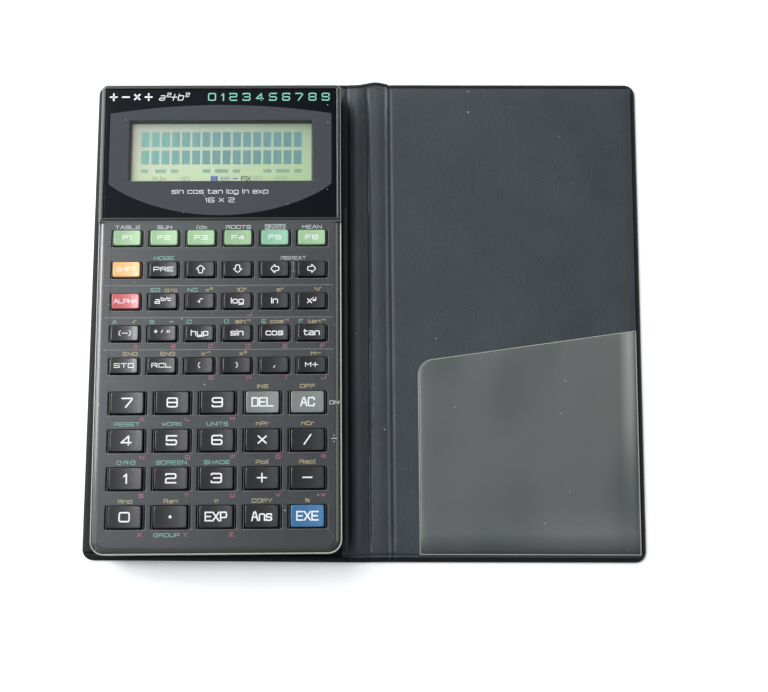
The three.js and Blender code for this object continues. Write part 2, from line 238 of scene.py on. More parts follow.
def plastic(name, colour, roughness, spread=0.06, grain=0.01 * MM, grain_scale=5200, coat=0.0, dust=0.0):
    """Moulded plastic: slight colour and gloss changes, fine moulded grain and, if asked, dust."""
    material, tree, shader = new_material(name)
    base = ramp(tree, noise(tree, 55), [(0.3, shade(colour, 0.88)), (0.7, shade(colour, 1.1))])
    if dust:
        base = mix_colour(tree, specks(tree, 420, 0.07, dust), base, PALE_DUST)
    smear = noise(tree, 160, 4, 0.6, WIDE_STREAKS)
    gloss = remap(tree, smear, roughness - spread, roughness + spread)
    feed(tree, shader, {"Base Color": base, "Roughness": gloss, "Coat Weight": coat, "Coat Roughness": 0.08})
    bump(tree, shader, noise(tree, grain_scale, 2), grain, 0.5)
    return material


def printed(name, colour):
    """Ink on plastic, a little uneven."""
    material, tree, shader = new_material(name)
    uneven = noise(tree, 2600, 2)
    ink = ramp(tree, uneven, [(0.35, shade(colour, 0.82)), (0.6, colour)])
    feed(tree, shader, {"Base Color": ink, "Roughness": 0.5})
    bump(tree, shader, uneven, FINE_GRAIN, 0.4)
    return material


def glossy_black(name, colour, coat):
    """Clear acrylic printed from behind: a hard gloss with faint hairline scratches and dust."""
    material, tree, shader = new_material(name)
    scratches = noise(tree, 240, 6, 0.75, HAIRLINES)
    lines = ramp(tree, scratches, [(0.66, 0.0), (0.72, 1.0)])
    base = mix_colour(tree, lines, colour, tuple(c * 1.3 + 0.004 for c in colour))
    base = mix_colour(tree, specks(tree, 330, 0.05, 0.35), base, PLATE_DUST)
    feed(tree, shader, {"Base Color": base, "Roughness": remap(tree, lines, 0.09, 0.24)})
    feed(tree, shader, {"Specular IOR Level": 0.3, "Coat Weight": coat, "Coat Roughness": 0.05})
    bump(tree, shader, noise(tree, 90, 2), 0.02 * MM, 0.15)
    return material


def vinyl(name, colour, gloss=0.45):
    """Leather-grained vinyl: pebbled grain, long soft wrinkles, rubbed patches and lint."""
    material, tree, shader = new_material(name)
    patches = noise(tree, 38, 4, 0.6)
    base = ramp(tree, patches, [(0.3, shade(colour, 0.82)), (0.72, shade(colour, 1.18))])
    scuffs = ramp(tree, noise(tree, 900, 5, 0.7, (1, 0.5, 1)), [(0.66, 0.0), (0.8, 0.35)])
    base = mix_colour(tree, scuffs, base, shade(colour, 1.9))
    base = mix_colour(tree, specks(tree, 190, 0.032, 0.5), base, LINT)
    base = mix_colour(tree, specks(tree, 610, 0.05, 0.12), base, SMALL_LINT)
    rough = remap(tree, noise(tree, 120), 0.46, 0.6)
    feed(tree, shader, {"Base Color": base, "Roughness": rough, "Specular IOR Level": gloss})
    pebbles = add_node(tree, "TexVoronoi", {"Vector": coordinates(tree), "Scale": 1500})
    grain = bump(tree, shader, pebbles.outputs["Distance"], 0.05 * MM, 0.8)
    bump(tree, shader, noise(tree, 70, 4, 0.62, LONG_WRINKLES), 0.5 * MM, 0.25, grain)
    return material


def clear_film(name):
    """Clear vinyl gone hazy and olive: soft patches of haze and painted sheen, painted shade at its foot, and
    a painted highlight down the fold at its right side.
    """
    material, tree, shader = new_material(name)
    haze = noise(tree, 21, 2, 0.45, (1, 0.55, 1))
    # Soft patches: partly the film's haze, partly painted sheen in place of soft reflections.
    patches = ramp(tree, haze, [(0.38, (0.085, 0.094, 0.09)), (0.6, (0.19, 0.2, 0.188))])
    x, y, _ = box_axes(tree)
    # Painted shade: the film darkens towards its foot.
    foot = ramp(tree, y, [(0.0, 0.25), (0.045, 0.7), (0.1, 1.15), (0.22, 0.92), (1.0, 1.0)])
    leaning = calculate(tree, "MULTIPLY_ADD", y, -0.02, x)
    # Painted highlight: a pale band down the fold at the right side, fading towards the foot.
    band = ramp(tree, leaning, [(0.9, 1.0), (0.945, 2.6), (0.962, 2.2), (0.975, 0.6), (1.0, 0.7)])
    highlight_fade = ramp(tree, y, [(0.15, 0.1), (0.55, 0.75), (1.0, 1.0)])
    base = mix_colour(tree, highlight_fade, multiply(tree, patches, foot), band, "MULTIPLY")
    feed(tree, shader, {"Base Color": base, "Roughness": remap(tree, haze, 0.22, 0.34)})
    feed(tree, shader, {"Alpha": 0.42, "Specular IOR Level": 0.6})
    bump(tree, shader, noise(tree, 32, 2, 0.5, (1, 0.6, 1)), 1.6 * MM, 0.6)
    return material


def display_finish(tree, shader, base):
    """The display's surface under its colour: a faintly grained, slightly glossy sheet."""
    feed(tree, shader, {"Base Color": base, "Roughness": 0.35, "Coat Weight": 0.3})
    bump(tree, shader, noise(tree, 3000, 2), FINE_GRAIN, 0.3)


def display_ground(name):
    """The reflective ground of the display: pale yellow-green, warmer at the left and greener at the foot."""
    material, tree, shader = new_material(name)
    x, y, _ = box_axes(tree)
    across = ramp(tree, x, [(0.0, (0.51, 0.51, 0.43)), (0.4, (0.45, 0.53, 0.41)), (1.0, (0.36, 0.455, 0.31))])
    up = ramp(tree, y, [(0.1, (1.1, 1.2, 0.95)), (0.5, (1.0, 1.02, 0.95)), (0.9, (0.84, 0.84, 0.86))])
    cloud = ramp(tree, noise(tree, 80), [(0.3, 0.94), (0.7, 1.0)])
    display_finish(tree, shader, multiply(tree, multiply(tree, across, up), cloud))
    return material


def display_cells(name, colour, far_colour):
    """Liquid crystal cells that are faintly on: one tint at the left, another at the right, with streaks."""
    material, tree, shader = new_material(name)
    across = ramp(tree, box_axes(tree)["X"], [(0.0, colour), (0.45, far_colour), (1.0, far_colour)])
    streaks = ramp(tree, noise(tree, 700, 3, 0.6, (1, 0.12, 1)), [(0.3, 0.86), (0.7, 1.08)])
    display_finish(tree, shader, multiply(tree, across, streaks))
    return material


def window_glass(name):
    """A clear pane: it lets light straight through and mirrors a little, more at a low angle."""
    material, tree, shader = new_material(name)
    tree.nodes.remove(shader)
    clear = add_node(tree, "BsdfTransparent", {"Color": (0.985, 0.99, 0.985, 1)})
    gloss = add_node(tree, "BsdfGlossy", {"Roughness": remap(tree, noise(tree, 300, 4), 0.03, 0.09)})
    facing = add_node(tree, "LayerWeight", {"Blend": 0.5}).outputs["Facing"]
    mirror = ramp(tree, facing, [(0.0, 0.035), (0.5, 0.06), (0.75, 0.19), (1.0, 0.9)])
    mix = add_node(tree, "MixShader", {0: mirror, 1: clear.outputs["BSDF"], 2: gloss.outputs["BSDF"]})
    output = next(n for n in tree.nodes if n.type == "OUTPUT_MATERIAL")
    feed(tree, output, {"Surface": mix.outputs["Shader"]})
    return material


def metal(name, colour, roughness):
    material, tree, shader = new_material(name)
    brushed = noise(tree, 500, 4, 0.6, (1, 0.1, 1))
    base = ramp(tree, brushed, [(0.3, shade(colour, 0.85)), (0.7, colour)])
    rough = remap(tree, brushed, roughness - 0.08, roughness + 0.08)
    feed(tree, shader, {"Base Color": base, "Roughness": rough, "Metallic": 1})
    bump(tree, shader, brushed, 0.01 * MM, 0.3)
    return material


def circuit_green(name):
    """Solder mask over copper tracks, which run in straight steps."""
    material, tree, shader = new_material(name)
    tracks = add_node(tree, "TexBrick", {"Vector": coordinates(tree), "Scale": 260, "Mortar Size": 0.08})
    feed(tree, tracks, {"Color1": (0.02, 0.14, 0.05, 1), "Color2": (0.03, 0.17, 0.06, 1)})
    feed(tree, tracks, {"Mortar": (0.06, 0.26, 0.09, 1)})
    feed(tree, shader, {"Base Color": tracks.outputs["Color"], "Roughness": 0.35})
    bump(tree, shader, tracks.outputs["Fac"], 0.03 * MM, 0.4)
    return material


WHITE_INK = printed("ink_white", (0.45, 0.47, 0.48))
LEGEND_INK = printed("ink_legend", (0.66, 0.67, 0.68))
GREEN_INK = printed("ink_green", (0.17, 0.36, 0.29))
AMBER_INK = printed("ink_amber", (0.38, 0.32, 0.18))
RED_INK = printed("ink_red", (0.36, 0.11, 0.15))
FACE_COLOUR = (0.025, 0.029, 0.031)
FACE_MATERIAL = plastic("keypad_face", FACE_COLOUR, 0.37, grain=0.02 * MM, grain_scale=2600, dust=0.12)
PANEL_MATERIAL = plastic("function_panel", (0.03, 0.034, 0.038), 0.38, grain=0.01 * MM)
# Painted highlight: the key guide ribs are much lighter than the face they belong to.
RIB_HIGHLIGHT_MATERIAL = plastic("key_guide", (0.11, 0.115, 0.12), 0.3, coat=0.3)
# Painted highlight: pale lips where the key holes' lower and right edges catch the light.
LIP_HIGHLIGHT_MATERIAL = plastic("key_hole_lip", (0.16, 0.165, 0.17), 0.3, coat=0.3)
# Painted shade: every key's walls and flange take this near-black, whatever colour its cap is.
SHADED_SKIRT_MATERIAL = plastic("key_skirt", (0.006, 0.006, 0.007), 0.5)
RIM_MATERIAL = plastic("case_rim", (0.02, 0.023, 0.018), 0.22, spread=0.07, coat=0.3, dust=0.15)
# Painted highlights: pale beads where the case's outer edges catch the light.
DISPLAY_BEAD_HIGHLIGHT_MATERIAL = plastic("display_bead", (0.15, 0.155, 0.145), 0.3, coat=0.3)
BEAD_HIGHLIGHT_MATERIAL = plastic("case_bead", (0.34, 0.35, 0.31), 0.28, coat=0.4)
REAR_MATERIAL = plastic("rear_case", (0.012, 0.013, 0.014), 0.5, grain=0.03 * MM, grain_scale=1800)
GASKET_MATERIAL = plastic("gasket_black", (0.02, 0.022, 0.022), 0.5)
HEADER_WHITE = printed("ink_header_white", (0.72, 0.73, 0.73))
HEADER_GREEN = printed("ink_header_green", (0.16, 0.5, 0.36))
LINE_MATERIAL = printed("ink_line", (0.2, 0.21, 0.22))
BLACK_PLATE = glossy_black("window_black", (0.002, 0.003, 0.005), 0.1)
BARREL_MATERIAL = glossy_black("window_grey", (0.045, 0.049, 0.056), 0.15)
VINYL_MATERIAL = vinyl("vinyl", (0.0205, 0.0265, 0.0325))
# Painted shade: a near-black, duller vinyl for the wallet's edges and the back panel up to the calculator's
# right side.
SHADED_VINYL_MATERIAL = vinyl("vinyl_unfaded", (0.004, 0.005, 0.006), gloss=0.15)
FILM_MATERIAL = clear_film("pocket_film")
# Painted shade: near-black strips standing for the shadow in the holder's slot and the spine's slit.
SLOT_SHADE_MATERIAL = plastic("vinyl_slot", (0.004, 0.005, 0.005), 0.6)
# Painted highlight: the pale colour of the film's cut edge, where it catches the light.
FILM_EDGE_HIGHLIGHT_MATERIAL = plastic("film_edge", (0.26, 0.27, 0.235), 0.3, coat=0.3)
KEY_COLOURS = {
    "key_dark": (0.012, 0.013, 0.0145),
    "key_green": (0.25, 0.39, 0.225),
    "key_teal": (0.2, 0.39, 0.27),
    "key_orange": (0.62, 0.36, 0.14),
    "key_red": (0.4, 0.085, 0.09),
    "key_grey": (0.14, 0.155, 0.147),
    "key_blue": (0.035, 0.13, 0.27),
}
KEY_MATERIALS = {slot: plastic(slot, colour, 0.27, coat=0.25) for slot, colour in KEY_COLOURS.items()}

# ---------------------------------------------------------------- mesh tools


def add_object(name, vertices, faces, materials, indices=None, smooth_angle=35):
    """A mesh object, smooth except along edges sharper than smooth_angle."""
    mesh = bpy.data.meshes.new(name)
    mesh.from_pydata([tuple(v) for v in vertices], [], faces)
    for material in materials:
        mesh.materials.append(material)
    if indices:
        mesh.polygons.foreach_set("material_index", indices)
    return finish_mesh(name, mesh, smooth_angle)


def finish_mesh(name, mesh, smooth_angle=35):
    work = bmesh.new()
    work.from_mesh(mesh)
    bmesh.ops.remove_doubles(work, verts=work.verts, dist=1e-7)
    bmesh.ops.recalc_face_normals(work, faces=work.faces)
    limit = math.radians(smooth_angle)
    for face in work.faces:
        face.smooth = True
    for edge in work.edges:
        edge.smooth = edge.is_manifold and edge.calc_face_angle() < limit
    work.to_mesh(mesh)
    work.free()
    piece = bpy.data.objects.new(name, mesh)
    bpy.context.scene.collection.objects.link(piece)
    weighted = piece.modifiers.new("normals", "WEIGHTED_NORMAL")
    weighted.keep_sharp = True
    return piece


def outline(rectangle, radii, steps=CORNER_STEPS):
    """Points anticlockwise round (left, right, bottom, top) with round corners, from the bottom left.

    The radii run bottom left, bottom right, top right, top left.
    """
    left, right, bottom, top = rectangle
    corners = (
        (left, bottom, 1, 1, 1.0),
        (right, bottom, -1, 1, 1.5),
        (right, top, -1, -1, 0.0),
        (left, top, 1, -1, 0.5),
    )
    points = []
    for (x, y, in_x, in_y, start), radius in zip(corners, radii):
        radius = max(radius, 0.005 * MM)
        for step in range(steps + 1):
            angle = (start + 0.5 * step / steps) * math.pi
            along, up = radius * math.cos(angle), radius * math.sin(angle)
            points.append((x + in_x * radius + along, y + in_y * radius + up))
    return points


def inset(rectangle, distance):
    left, right, bottom, top = rectangle
    return left + distance, right - distance, bottom + distance, top - distance


def around(x, y, width, height):
    return x - width / 2, x + width / 2, y - height / 2, y + height / 2


def band(low, high):
    """Faces between two closed rings of as many vertices each."""
    count = len(low)
    return [(low[i], low[(i + 1) % count], high[(i + 1) % count], high[i]) for i in range(count)]


def ring_mesh(rings, closed):
    """Vertices and faces through rings of as many points each; the last joins the first if closed."""
    count = len(rings[0])
    vertices = [p for ring in rings for p in ring]
    levels = [range(i * count, (i + 1) * count) for i in range(len(rings))]
    following = levels[1:] + levels[:1] if closed else levels[1:]
    faces = [face for low, high in zip(levels, following) for face in band(low, high)]
    if not closed:
        faces += [tuple(reversed(levels[0])), tuple(levels[-1])]
    return vertices, faces


def joined(parts):
    """One mesh's vertices and faces from several such pairs."""
    vertices, faces = [], []
    for part_vertices, part_faces in parts:
        first = len(vertices)
        vertices += part_vertices
        faces += [tuple(first + i for i in face) for face in part_faces]
    return vertices, faces


def level(points, height):
    """An outline's points at one height."""
    return [(x, y, height) for x, y in points]


def inset_ring(rectangle, radii, distance, height):
    """One level of a rounded box, shrunk by a distance. Its corners stay a little round."""
    shrunk = [max(radius - distance, 0.3 * radius) for radius in radii]
    return level(outline(inset(rectangle, distance), shrunk), height)


def ring_object(name, rings, material, closed=False, smooth_angle=35):
    vertices, faces = ring_mesh(rings, closed)
    return add_object(name, vertices, faces, [material], smooth_angle=smooth_angle)


def swept_frame(name, rectangle, radii, profile, material):
    """A frame whose section is the closed profile of (inward distance, height) points."""
    rings = [inset_ring(rectangle, radii, distance, height) for distance, height in profile]
    return ring_object(name, rings, material, closed=True)


def over(base, section):
    """Section points over a base height, from (distance, height) pairs in millimetres."""
    return [(distance * MM, base + height * MM) for distance, height in section]


def plate_with_holes(name, outlines, low, high, bevel, material):
    """A flat plate: the first outline is its edge and the rest are holes, all with small round bevels."""
    curve = bpy.data.curves.new(name + "_outline", "CURVE")
    curve.dimensions = "2D"
    curve.fill_mode = "BOTH"
    curve.extrude = (high - low) / 2 - bevel
    curve.bevel_depth = bevel
    curve.bevel_resolution = 2
    curve.offset = -bevel
    for points in outlines:
        spline = curve.splines.new("POLY")
        spline.points.add(len(points) - 1)
        for target, (x, y) in zip(spline.points, points):
            target.co = (x, y, 0, 1)
        spline.use_cyclic_u = True
    holder = bpy.data.objects.new(name + "_curve", curve)
    bpy.context.scene.collection.objects.link(holder)
    graph = bpy.context.evaluated_depsgraph_get()
    mesh = bpy.data.meshes.new_from_object(holder.evaluated_get(graph))
    bpy.data.objects.remove(holder)
    bpy.data.curves.remove(curve)
    mesh.name = name
    for vertex in mesh.vertices:
        vertex.co.z += (low + high) / 2
    mesh.materials.clear()
    mesh.materials.append(material)
    return finish_mesh(name, mesh)


def spread(low, high, fine, count):
    """Breakpoints from low to high: the fine distances in from each end, and count even steps between."""
    inner_low, inner_high = low + fine[-1], high - fine[-1]
    middle = even_steps(inner_low, inner_high, count)[1:-1]
    return [low + f for f in fine] + middle + [high - f for f in reversed(fine)]


def round_corner(x, y, rectangle, radii):
    """Moves a point of a square-cornered grid so that the rectangle's corners come out round."""
    left, right, bottom, top = rectangle
    corners = ((left, bottom), (right, bottom), (right, top), (left, top))
    for (corner_x, corner_y), radius in zip(corners, radii):
        if radius <= 0:
            continue
        side_x = 1 if corner_x == right else -1
        side_y = 1 if corner_y == top else -1
        centre_x, centre_y = corner_x - side_x * radius, corner_y - side_y * radius
        a, b = (x - centre_x) * side_x, (y - centre_y) * side_y
        if a > 0 and b > 0:
            scale = max(a, b) / math.hypot(a, b)
            return centre_x + side_x * a * scale, centre_y + side_y * b * scale
    return x, y


def even_steps(low, high, count):
    """Values from low to high in count even steps."""
    return [low + (high - low) * i / count for i in range(count + 1)]


def grid_faces(across, up):
    starts = [j * across + i for j in range(up - 1) for i in range(across - 1)]
    return [(a, a + 1, a + across + 1, a + across) for a in starts]


def grid_rim(across, up):
    """Indices of a grid's outer points, anticlockwise from the bottom left."""
    rim = list(range(across))
    rim += [j * across + across - 1 for j in range(1, up)]
    rim += [(up - 1) * across + i for i in range(across - 2, -1, -1)]
    return rim + [j * across for j in range(up - 2, 0, -1)]


def grid_slab(name, xs, ys, radii, top, bottom, materials, moved):
    """A closed slab over a grid, with round corners, between the heights top(x, y) and bottom(x, y)."""
    rectangle = (xs[0], xs[-1], ys[0], ys[-1])
    flat = [(x, y) for y in ys for x in xs]
    placed = [moved(*round_corner(x, y, rectangle, radii)) for x, y in flat]
    vertices = [(*p, top(x, y)) for p, (x, y) in zip(placed, flat)]
    vertices += [(*p, bottom(x, y)) for p, (x, y) in zip(placed, flat)]
    across, up, total = len(xs), len(ys), len(flat)
    faces = grid_faces(across, up)
    faces += [tuple(total + i for i in reversed(face)) for face in faces]
    rim = grid_rim(across, up)
    faces += band(rim, [total + i for i in rim])
    return add_object(name, vertices, faces, materials, smooth_angle=50)


# ---------------------------------------------------------------- lettering

# Each glyph is a list of strokes on a grid eight units to the cap height; z is two units under the base line.
GLYPHS = {
    "0": ["00 80 88 08 00"],
    "1": ["16 38 30"],
    "2": ["07 08 88 84 04 00", "00 80"],
    "3": ["07 08 88 80 00 01", "24 84"],
    "4": ["61 68 02 82", "61 60"],
    "5": ["88 08", "08 04", "04 84 80 00 01"],
    "6": ["87 88 08 00 80 84 04"],
    "7": ["08 88", "88 87 30"],
    "8": ["00 80 88 08 00", "04 84"],
    "9": ["01 00 80 88 08 04 84"],
    "A": ["00 38 58 80", "13 73"],
    "B": ["00 08", "08 88 80 00", "04 84"],
    "C": ["86 88 08 00 80 82"],
    "D": ["00 08", "08 88 80 00"],
    "E": ["00 08", "08 88", "00 80", "04 74"],
    "F": ["00 08", "08 88", "04 74"],
    "G": ["86 88 08 00 80 84 54"],
    "H": ["00 08", "80 88", "04 84"],
    "I": ["00 08"],
    "J": ["88 80 00 02"],
    "K": ["00 08", "88 04 80"],
    "L": ["08 00", "00 80"],
    "M": ["00 08", "08 43 88", "88 80"],
    "N": ["00 08", "08 80", "80 88"],
    "O": ["00 80 88 08 00"],
    "P": ["00 08", "08 88 83 03"],
    "Q": ["00 80 88 08 00", "52 80"],
    "R": ["00 08", "08 88 84 04", "54 80"],
    "S": ["87 88 08 04 84 80 00 01"],
    "T": ["08 88", "48 40"],
    "U": ["08 00 80 88"],
    "V": ["08 40 88"],
    "W": ["08 20 46 60 88"],
    "X": ["00 88", "08 80"],
    "Y": ["08 44 88", "44 40"],
    "Z": ["08 88", "88 00", "00 80"],
    "a": ["16 76 70", "73 03 00 70"],
    "b": ["08 00 70 76 06"],
    "c": ["75 76 06 00 70 71"],
    "d": ["78 70 00 06 76"],
    "e": ["71 70 00 06 76 73 03"],
    "g": ["70 00 06 76 7z 0z"],
    "h": ["08 00", "06 76 70"],
    "i": ["00 06", "07 08"],
    "l": ["08 00"],
    "n": ["00 06 76 70"],
    "o": ["00 70 76 06 00"],
    "p": ["0z 06 76 70 00"],
    "r": ["00 06 56"],
    "s": ["75 76 06 03 73 70 00 01"],
    "t": ["18 10 50", "06 56"],
    "x": ["00 66", "06 60"],
    "y": ["06 00 70", "76 7z 0z"],
    "(": ["29 07 01 2y"],
    ")": ["09 27 21 0y"],
    "+": ["04 84", "48 40"],
    "-": ["04 84"],
    "*": ["17 71", "11 77"],
    "÷": ["04 84", "47 48", "40 41"],
    "/": ["00 58"],
    ":": ["01 02", "06 07"],
    ",": ["12 10 0y"],
    ".": ["00 10"],
    "·": ["04 14"],
    "'": ["18 05"],
    '"': ["18 05", "48 35"],
    "o^": ["05 35 38 08 05"],
    "%": ["00 88", "05 35 38 08 05", "50 80 83 53 50"],
    "√": ["03 23 30 48 88"],
    "π": ["06 86", "26 20", "66 60"],
    "∫": ["58 38 30 10"],
    "↑": ["20 24 04 48 84 64 60 20"],
    "↓": ["28 24 04 40 84 64 68 28"],
    "←": ["82 42 40 04 48 46 86 82"],
    "→": ["02 42 40 84 48 46 06 02"],
}
HEIGHTS = {"z": -2, "y": -1}
GRID = 8
SPACE = 5
LETTER_GAP = 2.4
CORNER_ROUNDING = 1.5
INDEX_SCALE = 0.62
INDEX_LIFT = 4.6
SHARP_ANGLE = math.radians(75)
SHARP_ROUNDING = 0.15


def glyph_strokes(glyph):
    strokes = []
    for text in GLYPHS[glyph]:
        strokes.append([(int(x), HEIGHTS[y] if y in HEIGHTS else int(y)) for x, y in text.split()])
    return strokes


def rounded_path(points, rounding):
    """A path with its corners cut round. A path that ends where it starts is closed."""
    closed = points[0] == points[-1]
    corners = points[:-1] if closed else points
    path = []
    count = len(corners)
    for i, corner in enumerate(corners):
        if not closed and i in (0, count - 1):
            path.append(corner)
            continue
        here = Vector(corner)
        before, after = Vector(corners[i - 1]) - here, Vector(corners[(i + 1) % count]) - here
        reach = min(rounding, 0.5 * before.length, 0.5 * after.length)
        if before.angle(after) < SHARP_ANGLE:
            reach *= SHARP_ROUNDING
        start, end = here + before.normalized() * reach, here + after.normalized() * reach
        for step in range(4):
            t = step / 3
            point = start * (1 - t) ** 2 + here * 2 * t * (1 - t) + end * t**2
            path.append((point.x, point.y))
    return path, closed


def ribbon(path, closed, width):
    """Left and right edges of a stroke of even width along a path, with mitred corners and square ends."""
    count = len(path)
    lefts, rights = [], []
    for i in range(count):
        here = Vector(path[i])
        before = Vector(path[i - 1]) if closed or i > 0 else None
        after = Vector(path[(i + 1) % count]) if closed or i < count - 1 else None
        into = (here - before).normalized() if before is not None else (after - here).normalized()
        out = (after - here).normalized() if after is not None else into
        along = (into + out).normalized() if (into + out).length > 1e-6 else into
        side = Vector((-along.y, along.x))
        square = max(side.dot(Vector((-into.y, into.x))), 0.5)
        if not closed and i == 0:
            here = here - into * width / 2
        if not closed and i == count - 1:
            here = here + out * width / 2
        lefts.append(here + side * (width / 2 / square))
        rights.append(here - side * (width / 2 / square))
    return lefts, rights


class Lettering:
    """Collects strokes as thin closed ribbons, to be turned into faces of one mesh."""

    def __init__(self, height_of, thickness=0.03 * MM):
        self.height_of = height_of
        self.thickness = thickness
        self.vertices = []
        self.faces = []

    def stroke(self, path, closed, width):
        lefts, rights = ribbon(path, closed, width)
        first = len(self.vertices)
        count = len(lefts)
        for left, right in zip(lefts, rights):
            for point, drop in ((left, 0), (right, 0), (right, self.thickness), (left, self.thickness)):
                self.vertices.append((point.x, point.y, self.height_of(point.x, point.y) - drop))
        for i in range(count if closed else count - 1):
            a, b = first + 4 * i, first + 4 * ((i + 1) % count)
            for k in range(4):
                n = (k + 1) % 4
                self.faces.append((a + k, b + k, b + n, a + n))
        if not closed:
            last = first + 4 * (count - 1)
            self.faces.append((first, first + 1, first + 2, first + 3))
            self.faces.append((last + 3, last + 2, last + 1, last))

    def bar(self, x, y, width, height):
        """A solid bar about a point."""
        self.stroke([(x - width / 2 + height / 2, y), (x + width / 2 - height / 2, y)], False, height)

    def dot(self, x, y, radius):
        turns = [i * math.pi / 5 for i in range(10)]
        ring = [(x + radius / 2 * math.cos(turn), y + radius / 2 * math.sin(turn)) for turn in turns]
        self.stroke(ring, True, radius * 0.98)

    def write(self, text, x, y, size, stroke, stretch, lean=0.0):
        """Writes text centred on a point. The size is its cap height, and the stroke a share of that.

        ^ raises what follows as an index, and _ returns to full size.
        """
        placed, pen, scale, lift = [], 0.0, 1.0, 0.0
        for character in split_text(text):
            if character == " ":
                pen += SPACE * scale
                continue
            if character in "^_":
                scale, lift = (INDEX_SCALE, INDEX_LIFT) if character == "^" else (1.0, 0.0)
                continue
            strokes = glyph_strokes(character)
            low = min(px for s in strokes for px, _ in s)
            high = max(px for s in strokes for px, _ in s)
            placed.append((strokes, pen - low * scale, scale, lift))
            pen += (high - low + LETTER_GAP) * scale
        total = pen - LETTER_GAP * scale
        unit = size / GRID
        for strokes, offset, glyph_scale, raised in placed:
            for points in strokes:
                path, closed = rounded_path(points, CORNER_ROUNDING)
                moved = []
                for px, py in path:
                    up = py * glyph_scale + raised - GRID / 2
                    across = (px * glyph_scale + offset - total / 2) * stretch + up * lean
                    moved.append((x + across * unit, y + up * unit))
                self.stroke(moved, closed, stroke * size * (0.5 + 0.5 * glyph_scale))

    def to_piece(self, name, material, body, slot):
        """Makes the strokes one mesh that rides on a body."""
        belongs(add_object(name, self.vertices, self.faces, [material], smooth_angle=30), body, slot)


def split_text(text):
    """Characters, with the degree ring written as one glyph."""
    parts, i = [], 0
    while i < len(text):
        step = 2 if text[i : i + 2] == "o^" else 1
        parts.append(text[i : i + step])
        i += step
    return parts


# ---------------------------------------------------------------- keys

# Rows of keys from the display down: the end of the node's name, and the legend
SMALL_ROWS = (
    {"f1": "F1", "f2": "F2", "f3": "F3", "f4": "F4", "f5": "F5", "f6": "F6"},
    {"shift": "SHIFT", "preset": "PRE", "up": "↑", "down": "↓", "left": "←", "right": "→"},
    {"alpha": "ALPHA", "fraction": "a^b/c", "root": "√", "log": "log", "ln": "ln", "power": "x^y"},
    {"negative": "(-)", "degrees": "o^ ' \"", "hyp": "hyp", "sin": "sin", "cos": "cos", "tan": "tan"},
    {
        "store": "STO",
        "recall": "RCL",
        "open_bracket": "(",
        "close_bracket": ")",
        "comma": ",",
        "memory_plus": "M+",
    },
)
LARGE_ROWS = (
    {"7": "7", "8": "8", "9": "9", "delete": "DEL", "all_clear": "AC"},
    {"4": "4", "5": "5", "6": "6", "multiply": "*", "divide": "/"},
    {"1": "1", "2": "2", "3": "3", "plus": "+", "minus": "-"},
    {"0": "0", "point": "dot", "exponent": "EXP", "answer": "Ans", "execute": "EXE"},
)
# Cap height in millimetres, stroke as a share of it, and stretch
LEGEND_STYLES = {
    "word": (2.4, 0.165, 0.7),
    "slanted sign": (2.7, 0.15, 1.1),
    "level sign": (2.4, 0.16, 1.05),
    "digit": (2.55, 0.165, 1.12),
    "arrow": (2.45, 0.11, 1.0),
    "mode": (1.14, 0.17, 0.94),
    "lower case": (1.52, 0.18, 1.0),
    "capitals": (1.16, 0.19, 1.36),
}
# Sizes that differ between large keys, True, and small keys, False
WALL_INSET = {True: 0.95 * MM, False: 0.72 * MM}
BACK_GAP = 0.12 * MM
FRONT_GAP = 0.42 * MM
WALL_DRAFT = 0.1 * MM
KEY_EDGE = 0.2 * MM
KEY_DISH = 0.17 * MM
KEY_CORNER = 0.45 * MM
RIB_PLACE = {True: 0.4 * MM, False: 0.34 * MM}
RIB_WIDTH = 0.2 * MM
RIB_END_GAP = 0.08 * MM
RIB_SECTION = ((0.0, -1.5), (1.0, -1.5), (1.0, -0.2), (0.72, -0.1), (0.28, -0.1), (0.0, -0.2))
LIP_GAP = 0.13 * MM
LIP_CORNER = 0.3 * MM
LIP_WIDTH = 0.13 * MM
POINT_RADIUS = 0.45 * MM
KEY_SLOTS = {p["node"]: p["material_slot"] for p in frame["record"]["subparts"]}


def key_places():
    """Node name, legend, middle, and hole size of each key, from its CAD box."""
    places = []
    for rows, large in ((SMALL_ROWS, False), (LARGE_ROWS, True)):
        for row in rows:
            for name, legend in row.items():
                low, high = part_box("key_" + name)
                places.append(
                    {
                        "node": "key_" + name,
                        "legend": legend,
                        "large": large,
                        "x": (low.x + high.x) / 2,
                        "y": (low.y + high.y) / 2,
                        "width": high.x - low.x - 2 * FLANGE_OVERHANG,
                        "height": high.y - low.y - 2 * FLANGE_OVERHANG,
                        "low": low.z,
                        "top": high.z,
                    }
                )
    return places


def hole_area(key, margin=0.0):
    """A key's hole in the case as (left, right, bottom, top), with a margin outside it."""
    return around(key["x"], key["y"], key["width"] + 2 * margin, key["height"] + 2 * margin)


